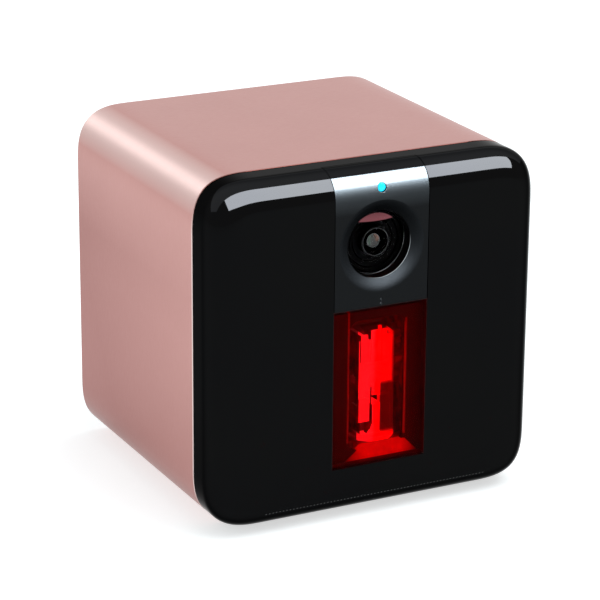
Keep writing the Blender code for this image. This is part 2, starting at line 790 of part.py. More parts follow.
def front_screw_places():
    return [(side * front_screw_x, z) for side in (-1, 1) for z in front_screw_zs]


def strip_block(name, side_gap, low, high, back_y):
    half = STRIP_WIDTH / 2 - side_gap
    return block(name, (-half, front_y - 2 * OVERRUN, low), (half, back_y, high))


def make_front_cover():
    """Nose shell with a slot for the strip, rebated so that the strip lies flush on a shelf."""
    cover = loft("front_cover", nose_sections(0, nose_back_y), GLOSS_BLACK)
    cut(cover, loft("nose_hollow", nose_sections(COVER_WALL, nose_back_y + OVERRUN)))
    rebate = loft("strip_rebate", nose_sections(-OVERRUN, nose_back_y))
    cut(rebate, loft("strip_shelf", nose_sections(PANEL_THICK + SEAM_GAP, nose_back_y + OVERRUN)))
    slot_low = window_bottom - SEAM_GAP
    slot_back_y = front_y + STRIP_REACH
    keep_inside(rebate, strip_block("strip_slot", 0, slot_low, case_top + 2 * OVERRUN, slot_back_y))
    opening_high = led_z + PIPE_FLANGE_RADIUS + SEAT_GAP
    opening_low = window_bottom + STRIP_SHELF
    opening_back_y = cover_inner_y + EDGE_ROUND
    opening = strip_block("strip_opening", STRIP_SHELF, opening_low, opening_high, opening_back_y)
    way_start = (0, front_y + PANEL_THICK, lens_z)
    way_length = opening_back_y - way_start[1]
    collar_way = rod("collar_way", collar_radius + SEAM_GAP, way_start, way_length, TOWARDS_REAR)
    cut(cover, rebate, opening, collar_way)
    for i, (x, z) in enumerate(front_screw_places()):
        start = (x, cover_inner_y - OVERLAP, z)
        length = carrier_front_y - SEAT_GAP - start[1]
        boss = rod(f"nose_boss_{i}", FRONT_BOSS_RADIUS, start, length, TOWARDS_REAR)
        bore_start = (x, carrier_front_y - SCREW_BITE, z)
        bore = rod(
            f"nose_bore_{i}",
            SCREW_RADIUS + RUNNING_GAP,
            bore_start,
            SCREW_BITE + OVERRUN,
            TOWARDS_REAR,
            sides=SMALL_SIDES,
        )
        join(cover, boss)
        cut(cover, bore)


def make_camera_panel():
    """Satin upper part of the strip, with a dish round the lens hole and a collar behind it."""
    panel = loft("camera_panel", nose_sections(0, nose_back_y), SATIN_GREY)
    cut(panel, loft("panel_hollow", nose_sections(PANEL_THICK, nose_back_y + OVERRUN)))
    strip = strip_block(
        "panel_strip", SEAM_GAP, window_top, case_top + OVERRUN, front_y + STRIP_REACH - SEAM_GAP
    )
    keep_inside(panel, strip)
    collar_start = (0, front_y + PANEL_THICK / 2, lens_z)
    collar_length = ring_back_y - collar_start[1]
    join(panel, rod("lens_collar", collar_radius, collar_start, collar_length, TOWARDS_REAR))
    spread = (DISH_RADIUS - LENS_HOLE_RADIUS) / DISH_DEPTH * OVERRUN
    through = LENS_RING_DEPTH + LENS_RING_THICK + OVERRUN
    dish = [
        (0, OVERRUN),
        (DISH_RADIUS + spread, OVERRUN),
        (LENS_HOLE_RADIUS, -DISH_DEPTH),
        (LENS_HOLE_RADIUS, -through),
        (0, -through),
    ]
    cut(panel, turned("lens_dish", dish, (0, front_y, lens_z), TOWARDS_FRONT, sides=LARGE_SIDES))
    for name, radius, z in (
        ("led_hole", LED_HOLE_RADIUS, led_z),
        ("mic_hole", MIC_HOLE_RADIUS, mic_z),
    ):
        start = (0, front_y - OVERRUN, z)
        cut(panel, rod(name, radius, start, through, TOWARDS_REAR, sides=SMALL_SIDES))


def make_laser_window():
    half = STRIP_WIDTH / 2 - SEAM_GAP
    low = (-half, front_y, window_bottom)
    high = (half, front_y + PANEL_THICK, window_top - SEAM_GAP)
    block("laser_window", low, high, RED_WINDOW)


def make_front_seal():
    near_y = nose_back_y + SEAM_GAP
    case_ring("front_seal", SEAL_INSET, SEAL_INSET + SEAL_WIDTH, near_y, near_y + SEAL_THICK, RUBBER)


def make_status_light():
    """A clear pipe in the panel, lit by an LED on a small board."""
    tip_y = nose_face_y(led_z + LED_HOLE_RADIUS, 0)
    flange_y = nose_face_y(led_z + PIPE_FLANGE_RADIUS, PANEL_THICK) + SEAT_GAP
    pipe_back_y = flange_y + PIPE_FLANGE_THICK
    pipe_radius = LED_HOLE_RADIUS - RUNNING_GAP
    profile = [
        (0, pipe_back_y - tip_y),
        (pipe_radius, pipe_back_y - tip_y),
        (pipe_radius, PIPE_FLANGE_THICK),
        (PIPE_FLANGE_RADIUS, PIPE_FLANGE_THICK),
        (PIPE_FLANGE_RADIUS, 0),
        (0, 0),
    ]
    turned("light_pipe", profile, (0, pipe_back_y, led_z), TOWARDS_FRONT, CYAN_LIGHT, SMALL_SIDES)
    led_y = pipe_back_y + SEAT_GAP
    half = LED_SIDE / 2
    block("status_led", (-half, led_y, led_z - half), (half, led_y + LED_THICK, led_z + half), WHITE_ACETAL)
    board_y = led_y + LED_THICK + SEAM_GAP
    half_width = LED_BOARD_WIDTH / 2
    board_low = led_z - LED_BOARD_HEIGHT / 2
    board_high = led_z + LED_BOARD_HEIGHT / 2
    low = (-half_width, board_y, board_low)
    high = (half_width, board_y + BOARD_THICK, board_high)
    block("led_board", low, high, SOLDER_MASK)
    pad_half = LED_PAD_WIDTH / 2
    pad_low = (-pad_half, board_y + BOARD_THICK + SEAT_GAP, board_low)
    return block("led_pad", pad_low, (pad_half, carrier_front_y + OVERLAP, board_high))


def make_microphone():
    """A rubber boot seals the microphone to its hole in the panel."""
    boot_y = front_y + PANEL_THICK + SEAT_GAP
    half = MIC_BOOT_WIDTH / 2
    high_z = MIC_BOOT_HEIGHT / 2
    mic_y = boot_y + MIC_BOOT_LENGTH + SEAM_GAP
    boot_low = (-half, boot_y, mic_z - high_z)
    boot = block("microphone_boot", boot_low, (half, mic_y - SEAM_GAP, mic_z + high_z), RUBBER)
    bore_length = MIC_BOOT_LENGTH + 2 * OVERRUN
    bore_start = (0, boot_y - OVERRUN, mic_z)
    cut(boot, rod("boot_bore", MIC_HOLE_RADIUS, bore_start, bore_length, TOWARDS_REAR, sides=SMALL_SIDES))
    mic_half = MIC_WIDTH / 2
    mic_high = MIC_HEIGHT / 2
    mic_back_y = mic_y + MIC_THICK
    mic_low = (-mic_half, mic_y, mic_z - mic_high)
    block("microphone", mic_low, (mic_half, mic_back_y, mic_z + mic_high), STEEL)
    pad_low = (-mic_half, mic_back_y + SEAT_GAP, mic_z - mic_high)
    return block("mic_pad", pad_low, (mic_half, carrier_front_y + OVERLAP, mic_z + mic_high))


def post_places():
    return [(side * post_x, z) for side in (-1, 1) for z in post_zs]


def make_carrier(pads):
    """Moulded frame behind the nose, with posts that take the rear screws and the camera board."""
    outer = case_outline(COVER_WALL + SEAT_GAP)
    chamber_way = rectangle(
        (-chamber_half - SEAT_GAP, spindle_head_bottom - SEAT_GAP),
        (chamber_half + SEAT_GAP, chamber_top + SEAT_GAP),
    )
    lens_half = HOLDER_SIDE / 2 + SEAT_GAP
    lens_way = rectangle((-lens_half, lens_z - lens_half), (lens_half, lens_z + lens_half))
    screw_ways = [circle(SCREW_RADIUS + SEAT_GAP, place, SMALL_SIDES) for place in front_screw_places()]
    middle = (0, (carrier_front_y + carrier_back_y) / 2, 0)
    outlines = [outer, chamber_way, lens_way] + screw_ways
    carrier = plate("carrier", outlines, CARRIER_THICK, middle, TOWARDS_FRONT, MATT_BLACK)
    join(carrier, *pads)
    post_back_y = rear_inner_y - SEAT_GAP
    for i, (x, z) in enumerate(post_places()):
        start = (x, carrier_back_y - OVERLAP, z)
        length = post_back_y - start[1]
        join(carrier, rod(f"carrier_post_{i}", POST_RADIUS, start, length, TOWARDS_REAR))
        bore_start = (x, post_back_y + OVERRUN, z)
        bore_length = REAR_SCREW_LENGTH + OVERRUN
        radius = REAR_SCREW_RADIUS + RUNNING_GAP
        bore = rod(f"post_bore_{i}", radius, bore_start, bore_length, TOWARDS_FRONT, sides=SMALL_SIDES)
        cut(carrier, bore)
    for i, (x, z) in enumerate(camera_post_places):
        start = (x, carrier_back_y - OVERLAP, z)
        end_y = camera_board_y - SEAT_GAP
        join(carrier, rod(f"camera_post_{i}", CAMERA_POST_RADIUS, start, end_y - start[1], TOWARDS_REAR))
        bore_start = (x, end_y + OVERRUN, z)
        radius = SCREW_RADIUS + RUNNING_GAP
        bore_length = SCREW_BITE + OVERRUN
        bore = rod(f"camera_bore_{i}", radius, bore_start, bore_length, TOWARDS_FRONT, sides=SMALL_SIDES)
        cut(carrier, bore)


def make_antenna():
    """The antenna is stuck to the carrier, behind plastic, because the sleeve is metal."""
    back_y = carrier_front_y - SEAT_GAP
    left = -CASE_WIDTH / 2 + ANTENNA_INSET
    low = (left, back_y - ANTENNA_THICK, case_middle_z - ANTENNA_HEIGHT / 2)
    high = (left + ANTENNA_WIDTH, back_y, case_middle_z + ANTENNA_HEIGHT / 2)
    block("antenna", low, high, SOLDER_MASK)


def make_cover_glass():
    """A dome of even thickness that stands on the lens ring, inside the hole in the panel."""
    radius = LENS_HOLE_RADIUS - SEAT_GAP
    shares = [i / COVER_GLASS_STEPS for i in range(COVER_GLASS_STEPS + 1)]
    inner_radius = radius - COVER_GLASS_RIM
    inner_rise = COVER_GLASS_RIM + COVER_GLASS_RISE - COVER_GLASS_THICK
    outside = [(radius * t, COVER_GLASS_RIM + COVER_GLASS_RISE * (1 - t * t)) for t in shares]
    inside = [(inner_radius * t, inner_rise * (1 - t * t)) for t in reversed(shares)]
    place = (0, ring_front_y - SEAM_GAP, lens_z)
    profile = outside + [(radius, 0)] + inside
    turned("cover_glass", profile, place, TOWARDS_FRONT, GLASS, LARGE_SIDES)


def make_lens():
    """Ring, cover glass, barrel with two glasses, holder, sensor and board, on the lens axis."""
    ring_radius = LENS_HOLE_RADIUS - RUNNING_GAP
    ring = [
        (LENS_RING_BORE + LENS_RING_BEVEL, LENS_RING_THICK),
        (ring_radius, LENS_RING_THICK),
        (ring_radius, 0),
        (LENS_RING_BORE, 0),
        (LENS_RING_BORE, LENS_RING_THICK - LENS_RING_BEVEL),
    ]
    turned("lens_ring", ring, (0, ring_back_y, lens_z), TOWARDS_FRONT, MATT_BLACK, LARGE_SIDES, closed=True)
    make_cover_glass()
    bore = BARREL_RADIUS - BARREL_WALL
    neck = BARREL_LENGTH - BARREL_HEAD_LENGTH
    barrel = [
        (BARREL_HEAD_RADIUS, BARREL_LENGTH),
        (BARREL_HEAD_RADIUS, neck),
        (BARREL_RADIUS, neck),
        (BARREL_RADIUS, 0),
        (bore, 0),
        (bore, BARREL_LENGTH),
    ]
    turned("lens_barrel", barrel, (0, barrel_back_y, lens_z), TOWARDS_FRONT, MATT_BLACK, closed=True)
    glass = bore - RUNNING_GAP
    angles = [math.pi / 2 * i / DOME_STEPS for i in range(DOME_STEPS + 1)]
    dome = [(glass * math.sin(angle), FRONT_GLASS_DOME * math.cos(angle)) for angle in angles]
    front_start = (0, barrel_front_y + FRONT_GLASS_DOME, lens_z)
    front_glass = dome + [(glass, -FRONT_GLASS_THICK), (0, -FRONT_GLASS_THICK)]
    turned("front_lens", front_glass, front_start, TOWARDS_FRONT, GLASS)
    rear_y_start = front_start[1] + FRONT_GLASS_THICK + REAR_GLASS_SPACE
    rod("rear_lens", glass, (0, rear_y_start, lens_z), REAR_GLASS_THICK, TOWARDS_REAR, GLASS)
    half = HOLDER_SIDE / 2
    holder_low = (-half, holder_front_y, lens_z - half)
    holder = block("lens_holder", holder_low, (half, holder_back_y, lens_z + half), MATT_BLACK)
    way_start = (0, holder_front_y - OVERRUN, lens_z)
    way_length = HOLDER_LENGTH + 2 * OVERRUN
    cut(holder, rod("holder_bore", BARREL_RADIUS + RUNNING_GAP, way_start, way_length, TOWARDS_REAR))
    half_width = SENSOR_WIDTH / 2
    half_height = SENSOR_HEIGHT / 2
    sensor_back_y = camera_board_y - SEAM_GAP
    low = (-half_width, sensor_back_y - SENSOR_THICK, lens_z - half_height)
    block("image_sensor", low, (half_width, sensor_back_y, lens_z + half_height), SENSOR_GLASS)
    side = CAMERA_BOARD_SIDE / 2
    outlines = [rectangle((-side, lens_z - side), (side, lens_z + side))]
    outlines += [circle(SCREW_RADIUS + SEAT_GAP, place, SMALL_SIDES) for place in camera_post_places]
    middle = (0, (camera_board_y + camera_board_back_y) / 2, 0)
    plate("camera_board", outlines, BOARD_THICK, middle, TOWARDS_FRONT, SOLDER_MASK)


def make_small_screws():
    """Front screws hold chamber, carrier and nose together. Camera screws hold the lens board."""
    flange_back_y = carrier_back_y + SEAT_GAP + CHAMBER_FLANGE_THICK
    seat_y = flange_back_y + RUNNING_GAP
    front_length = seat_y - carrier_front_y + SCREW_BITE - SCREW_BORE_SPARE
    for i, (x, z) in enumerate(front_screw_places()):
        small_screw(f"front_screw_{i + 1}", (x, seat_y, z), front_length)
    for i, (x, z) in enumerate(camera_post_places):
        seat = (x, camera_board_back_y + RUNNING_GAP, z)
        small_screw(f"camera_screw_{i + 1}", seat, BOARD_THICK + SCREW_BITE - SCREW_BORE_SPARE)


def small_screw(name, seat, length):
    screw(name, SCREW_RADIUS, SCREW_HEAD_RADIUS, SCREW_HEAD_THICK, length, seat, TOWARDS_REAR, STEEL)


def make_chamber_bezel():
    """Frame behind the red window, with a flared mouth that has round corners."""
    low = (-chamber_half, bezel_front_y, chamber_bottom)
    high = (chamber_half, bezel_back_y, chamber_top)
    bezel = block("chamber_bezel", low, high, MATT_BLACK)
    half = STRIP_WIDTH / 2 - BEZEL_SIDE
    mouth_low = window_bottom + BEZEL_FOOT
    mouth_high = window_top - BEZEL_HEAD
    slope = BEZEL_FLARE / BEZEL_THICK
    sill_slope = BEZEL_SILL / BEZEL_THICK
    sections = []
    for y in (bezel_front_y - OVERRUN, bezel_back_y + OVERRUN):
        grow = max((bezel_back_y - y) * slope, 0)
        drop = max((bezel_back_y - y) * sill_slope, 0)
        corner_low = (-half - grow, mouth_low - drop)
        corner_high = (half + grow, mouth_high + grow)
        radius = BEZEL_CORNER + grow
        sections.append((y, round_rectangle(corner_low, corner_high, radius, BEZEL_CORNER_STEPS)))
    sections.insert(1, (bezel_back_y, sections[1][1]))
    cut(bezel, loft("bezel_mouth", sections))


def make_laser_chamber():
    """Tub that holds the turret, open to the front, with a flange at each side for its screws."""
    low = (-chamber_half, chamber_front_y, chamber_bottom)
    chamber = block("laser_chamber", low, (chamber_half, chamber_back_y, chamber_top), MATT_BLACK)
    hollow_low = (-chamber_inner_half, chamber_front_y - OVERRUN, chamber_floor_top)
    hollow_high = (chamber_inner_half, chamber_inner_back_y, chamber_ceiling)
    cut(chamber, block("chamber_hollow", hollow_low, hollow_high))
    flange_y = carrier_back_y + SEAT_GAP
    reach = front_screw_x + FRONT_BOSS_RADIUS
    root = chamber_half - OVERLAP
    for name, left, right in (("left", -reach, -root), ("right", root, reach)):
        flange_low = (left, flange_y, chamber_bottom)
        flange_high = (right, flange_y + CHAMBER_FLANGE_THICK, chamber_top)
        join(chamber, block(f"chamber_flange_{name}", flange_low, flange_high))
    for i, (x, z) in enumerate(front_screw_places()):
        start = (x, flange_y - OVERRUN, z)
        length = CHAMBER_FLANGE_THICK + 2 * OVERRUN
        radius = SCREW_RADIUS + SEAT_GAP
        cut(chamber, rod(f"flange_hole_{i}", radius, start, length, TOWARDS_REAR, sides=SMALL_SIDES))
    floor_length = CHAMBER_FLOOR + 2 * OVERRUN
    for name, radius, y in (
        ("spindle_bearing", PAN_SPINDLE_RADIUS + RUNNING_GAP, pan_y),
        ("pan_shaft_way", MOTOR_SHAFT_RADIUS + SEAT_GAP, pan_motor_y),
    ):
        start = (turret_x, y, chamber_bottom - OVERRUN)
        cut(chamber, rod(name, radius, start, floor_length, UPWARDS))


def make_pan_motor():
    """Can under the chamber floor, with ears that lie against it."""
    start = (turret_x, pan_motor_y, pan_motor_bottom)
    motor = rod("pan_motor", PAN_MOTOR_RADIUS, start, PAN_MOTOR_HEIGHT, UPWARDS, STEEL)
    top = pan_motor_bottom + PAN_MOTOR_HEIGHT
    half = MOTOR_EAR_WIDTH / 2
    ears_low = (turret_x - MOTOR_EAR_REACH, pan_motor_y - half, top - MOTOR_EAR_THICK)
    ears_high = (turret_x + MOTOR_EAR_REACH, pan_motor_y + half, top)
    join(motor, block("motor_ears", ears_low, ears_high))
    bore_start = (turret_x, pan_motor_y, top - MOTOR_SHAFT_DEPTH)
    bore_length = MOTOR_SHAFT_DEPTH + OVERRUN
    cut(motor, rod("pan_motor_bore", MOTOR_SHAFT_RADIUS + RUNNING_GAP, bore_start, bore_length, UPWARDS))


def make_pan_pinion(empty):
    top = pan_gear_bottom + GEAR_THICK
    facing = math.pi / 2 + math.pi + math.pi / PINION_TEETH
    middle = (turret_x, pan_motor_y, pan_gear_bottom + GEAR_THICK / 2)
    outline = gear_outline(PINION_TEETH, facing)
    pinion = plate("pan_pinion", [outline], GEAR_THICK, middle, UPWARDS, WHITE_ACETAL)
    shaft_low = pan_motor_bottom + PAN_MOTOR_HEIGHT - MOTOR_SHAFT_DEPTH + SEAT_GAP
    length = top - OVERLAP - shaft_low
    shaft_start = (turret_x, pan_motor_y, shaft_low)
    join(pinion, rod("pan_shaft", MOTOR_SHAFT_RADIUS, shaft_start, length, UPWARDS))
    hang(empty, pinion)


def make_turret_base(empty):
    """Gear, spindle and yoke that turn about the upright axis."""
    outlines = [gear_outline(GEAR_TEETH, math.pi / 2), circle(PAN_SPINDLE_RADIUS + RUNNING_GAP)]
    middle = (turret_x, pan_y, pan_gear_bottom + GEAR_THICK / 2)
    gear = plate("pan_gear", outlines, GEAR_THICK, middle, UPWARDS, WHITE_ACETAL)
    head_top = chamber_bottom - RUNNING_GAP
    head_bottom = spindle_head_bottom
    spindle_top = turntable_bottom + PAN_SPINDLE_SOCKET - RUNNING_GAP
    profile = [
        (0, spindle_top - head_bottom),
        (PAN_SPINDLE_RADIUS, spindle_top - head_bottom),
        (PAN_SPINDLE_RADIUS, head_top - head_bottom),
        (PAN_SPINDLE_HEAD, head_top - head_bottom),
        (PAN_SPINDLE_HEAD, 0),
        (0, 0),
    ]
    spindle = turned("pan_spindle", profile, (turret_x, pan_y, head_bottom), UPWARDS, STEEL)
    hang(empty, gear, spindle, make_yoke())


def make_yoke():
    """Turntable with two arms that carry the laser's trunnions and, above them, the tilt motor."""
    base = (turret_x, pan_y, turntable_bottom)
    yoke = rod("pan_yoke", TURNTABLE_RADIUS, base, TURNTABLE_THICK, UPWARDS, WHITE_ACETAL)
    front, back = pan_y - ARM_HALF_DEPTH, pan_y + ARM_HALF_DEPTH
    frame_low = (turret_x - arm_outer_x, front, turntable_bottom + TURNTABLE_THICK / 2)
    frame = block("yoke_frame", frame_low, (turret_x + arm_outer_x, back, yoke_top))
    gap_low = (turret_x - arm_inner_x, front - OVERRUN, turntable_top - OVERLAP)
    gap_high = (turret_x + arm_inner_x, back + OVERRUN, yoke_top - YOKE_BRIDGE_THICK)
    cut(frame, block("yoke_gap", gap_low, gap_high))
    join(yoke, frame)
    socket_start = (turret_x, pan_y, turntable_bottom - OVERRUN)
    socket_length = PAN_SPINDLE_SOCKET + OVERRUN
    socket_radius = PAN_SPINDLE_RADIUS + RUNNING_GAP
    cut(yoke, rod("spindle_socket", socket_radius, socket_start, socket_length, UPWARDS))
    trunnion_start = (turret_x - arm_outer_x - OVERRUN, pan_y, tilt_z)
    trunnion_length = 2 * (arm_outer_x + OVERRUN)
    trunnion_radius = TRUNNION_RADIUS + RUNNING_GAP
    cut(yoke, rod("trunnion_way", trunnion_radius, trunnion_start, trunnion_length, TOWARDS_RIGHT))
    shaft_start = (turret_x, pan_y, tilt_motor_z)
    shaft_length = arm_outer_x + OVERRUN
    shaft_radius = MOTOR_SHAFT_RADIUS + RUNNING_GAP
    cut(yoke, rod("tilt_shaft_way", shaft_radius, shaft_start, shaft_length, TOWARDS_RIGHT))
    return yoke


def make_tilt_drive(pan_empty, pinion_empty):
    half = arm_inner_x - SEAT_GAP
    start = (turret_x - half, pan_y, tilt_motor_z)
    motor = rod("tilt_motor", TILT_MOTOR_RADIUS, start, 2 * half, TOWARDS_RIGHT, STEEL)
    bore_start = (turret_x + half - MOTOR_SHAFT_DEPTH, pan_y, tilt_motor_z)
    bore_length = MOTOR_SHAFT_DEPTH + OVERRUN
    bore_radius = MOTOR_SHAFT_RADIUS + RUNNING_GAP
    cut(motor, rod("tilt_motor_bore", bore_radius, bore_start, bore_length, TOWARDS_RIGHT))
    hang(pan_empty, motor)
    facing = math.pi / 2 + math.pi + math.pi / PINION_TEETH
    middle = (turret_x + tilt_gear_x + GEAR_THICK / 2, pan_y, tilt_motor_z)
    outline = gear_outline(PINION_TEETH, facing)
    pinion = plate("tilt_pinion", [outline], GEAR_THICK, middle, TOWARDS_RIGHT, WHITE_ACETAL)
    shaft_start = (bore_start[0] + SEAT_GAP, pan_y, tilt_motor_z)
    shaft_length = turret_x + tilt_gear_x + GEAR_THICK - OVERLAP - shaft_start[0]
    join(pinion, rod("tilt_shaft", MOTOR_SHAFT_RADIUS, shaft_start, shaft_length, TOWARDS_RIGHT))
    hang(pinion_empty, pinion)


def make_laser_head(empty):
    """Cradle on two trunnions, with the laser module through it and a toothed sector at one side."""
    half = CRADLE_WIDTH / 2
    cradle = block(
        "laser_cradle",
        (turret_x - half, pan_y - CRADLE_LENGTH / 2, tilt_z - CRADLE_HEIGHT / 2),
        (turret_x + half, pan_y + CRADLE_LENGTH / 2, tilt_z + CRADLE_HEIGHT / 2),
        WHITE_ACETAL,
    )
    for name, axis, end_x in (
        ("trunnion_left", TOWARDS_LEFT, arm_outer_x),
        ("trunnion_right", TOWARDS_RIGHT, tilt_gear_x + GEAR_THICK),
    ):
        start = Vector((turret_x, pan_y, tilt_z)) + axis * (half - OVERLAP)
        join(cradle, rod(name, TRUNNION_RADIUS, start, end_x - half + OVERLAP, axis))
    way_start = (turret_x, pan_y - CRADLE_LENGTH / 2 - OVERRUN, tilt_z)
    way_length = CRADLE_LENGTH + 2 * OVERRUN
    cut(cradle, rod("laser_way", LASER_RADIUS + RUNNING_GAP, way_start, way_length, TOWARDS_REAR))
    profile = [
        (0, -LASER_MOUTH_DEPTH),
        (LASER_MOUTH_RADIUS, -LASER_MOUTH_DEPTH),
        (LASER_MOUTH_RADIUS, 0),
        (LASER_RADIUS, 0),
        (LASER_RADIUS, -LASER_LENGTH),
        (0, -LASER_LENGTH),
    ]
    nose = (turret_x, pan_y - LASER_NOSE, tilt_z)
    module = turned("laser_module", profile, nose, TOWARDS_FRONT, BRASS)
    lens_start = (turret_x, nose[1] + LASER_MOUTH_DEPTH - SEAM_GAP, tilt_z)
    lens_radius = LASER_MOUTH_RADIUS - RUNNING_GAP
    lens = rod("laser_lens", lens_radius, lens_start, LASER_LENS_THICK, TOWARDS_FRONT, GLASS)
    outlines = [
        sector_outline(GEAR_TEETH, math.pi / 2, TILT_SECTOR),
        circle(TRUNNION_RADIUS + RUNNING_GAP, sides=SMALL_SIDES),
    ]
    middle = (turret_x + tilt_gear_x + GEAR_THICK / 2, pan_y, tilt_z)
    gear = plate("tilt_gear", outlines, GEAR_THICK, middle, TOWARDS_RIGHT, WHITE_ACETAL)
    hang(empty, cradle, module, lens, gear)


def make_rear_cover():
    """Plate set into the sleeve, with the speaker grille, vents, power socket and button holes."""
    outline = case_outline(SLEEVE_WALL + REAR_GAP)
    cover = loft("rear_cover", [(rear_inner_y, outline), (rear_outer_y, outline)], MATT_BLACK)
    openings = []
    grille_radius = SPEAKER_RADIUS - SPEAKER_FLANGE - GRILLE_MARGIN
    for i in range(GRILLE_SLOTS):
        x = (i - (GRILLE_SLOTS - 1) / 2) * GRILLE_PITCH
        half = math.sqrt(max(grille_radius**2 - x**2, GRILLE_SLOT**2))
        openings.append((x, GRILLE_SLOT / 2, speaker_z, half))
    for i in range(VENT_SLOTS):
        x = (i - (VENT_SLOTS - 1) / 2) * VENT_PITCH
        openings.append((x, VENT_SLOT / 2, vent_z, VENT_HEIGHT / 2))
    socket_z = socket_bottom + SOCKET_HEIGHT / 2
    socket_half_height = SOCKET_HEIGHT / 2 + BUTTON_CLEAR
    openings.append((-REAR_PORT_OFFSET, SOCKET_WIDTH / 2 + BUTTON_CLEAR, socket_z, socket_half_height))
    near_y = rear_inner_y - OVERRUN
    far_y = rear_outer_y + OVERRUN
    corners = [((x - w, near_y, z - h), (x + w, far_y, z + h)) for x, w, z, h in openings]
    cut(cover, blocks("rear_openings", corners))
    button_start = (REAR_PORT_OFFSET, near_y, button_z)
    cut(cover, rod("button_hole", BUTTON_RADIUS + BUTTON_CLEAR, button_start, far_y - near_y, TOWARDS_REAR))
    recess_radius = REAR_SCREW_HEAD_RADIUS + SEAT_GAP
    recess_depth = REAR_SCREW_HEAD_THICK + RUNNING_GAP
    way_radius = REAR_SCREW_RADIUS + SEAT_GAP
    stepped_way = [
        (0, recess_depth + OVERRUN),
        (recess_radius, recess_depth + OVERRUN),
        (recess_radius, 0),
        (way_radius, 0),
        (way_radius, -REAR_WALL),
        (0, -REAR_WALL),
    ]
    for i, (x, z) in enumerate(post_places()):
        start = (x, rear_outer_y - recess_depth, z)
        cut(cover, turned(f"screw_way_{i}", stepped_way, start, TOWARDS_REAR, sides=SMALL_SIDES))
        screw(
            f"rear_screw_{i + 1}",
            REAR_SCREW_RADIUS,
            REAR_SCREW_HEAD_RADIUS,
            REAR_SCREW_HEAD_THICK,
            REAR_SCREW_LENGTH,
            (x, start[1] + RUNNING_GAP, z),
            TOWARDS_REAR,
            STEEL,
        )


def make_speaker(empty):
    """Basket and magnet are fixed. The cone and its coil move a little along the speaker's axis."""
    centre = (0, speaker_face_y, speaker_z)
    seat = SPEAKER_RADIUS - SPEAKER_FLANGE
    throat_top = -BASKET_DEPTH + BASKET_WALL
    shoulder = -CONE_TOP - CONE_THICK - CONE_TRAVEL - SEAT_GAP
    basket = [
        (SPEAKER_RADIUS, 0),
        (SPEAKER_RADIUS, -SPEAKER_FLANGE_THICK),
        (seat + BASKET_WALL, -SPEAKER_FLANGE_THICK),
        (seat + BASKET_WALL, shoulder),
        (MAGNET_RADIUS + BASKET_WALL, -BASKET_DEPTH),
        (BASKET_THROAT, -BASKET_DEPTH),
        (BASKET_THROAT, throat_top),
        (MAGNET_RADIUS, throat_top),
        (seat, shoulder),
        (seat, 0),
    ]
    turned("speaker_basket", basket, centre, TOWARDS_REAR, STEEL, LARGE_SIDES, closed=True)
    magnet_top = -BASKET_DEPTH - SEAM_GAP
    groove_inner = COIL_RADIUS - COIL_WALL - COIL_CLEAR
    groove_outer = COIL_RADIUS + COIL_CLEAR
    groove_floor = magnet_top - MAGNET_GROOVE
    magnet = [
        (0, magnet_top),
        (groove_inner, magnet_top),
        (groove_inner, groove_floor),
        (groove_outer, groove_floor),
        (groove_outer, magnet_top),
        (MAGNET_RADIUS, magnet_top),
        (MAGNET_RADIUS, magnet_top - MAGNET_THICK),
        (0, magnet_top - MAGNET_THICK),
    ]
    turned("speaker_magnet", magnet, centre, TOWARDS_REAR, FERRITE)
    cone = turned("speaker_cone", cone_profile(seat, magnet_top), centre, TOWARDS_REAR, PAPER, LARGE_SIDES)
    hang(empty, cone)


def cone_profile(seat, magnet_top):
    """Dust cap, cone and rolled edge, down their front, then back under them and round the coil."""
    neck = -CONE_TOP - CONE_DEPTH
    edge = seat - CONE_TRAVEL
    roll_inner = edge - CONE_EDGE
    coil_inner = COIL_RADIUS - COIL_WALL
    coil_end = magnet_top - COIL_DIP
    top = []
    for i in range(DOME_STEPS + 1):
        angle = math.pi / 2 * i / DOME_STEPS
        top.append((COIL_RADIUS * math.sin(angle), neck + CAP_DOME * math.cos(angle)))
    for i in range(CONE_ROLL_STEPS + 1):
        angle = math.pi * (1 - i / CONE_ROLL_STEPS)
        middle = (roll_inner + edge) / 2
        top.append((middle + CONE_EDGE / 2 * math.cos(angle), -CONE_TOP + CONE_ROLL * math.sin(angle)))
    under = [(edge, -CONE_TOP - CONE_THICK), (roll_inner, -CONE_TOP - CONE_THICK)]
    under += [
        (COIL_RADIUS, neck - CONE_THICK),
        (COIL_RADIUS, coil_end),
        (coil_inner, coil_end),
        (coil_inner, neck - CONE_THICK),
        (0, neck - CONE_THICK),
    ]
    return top + under


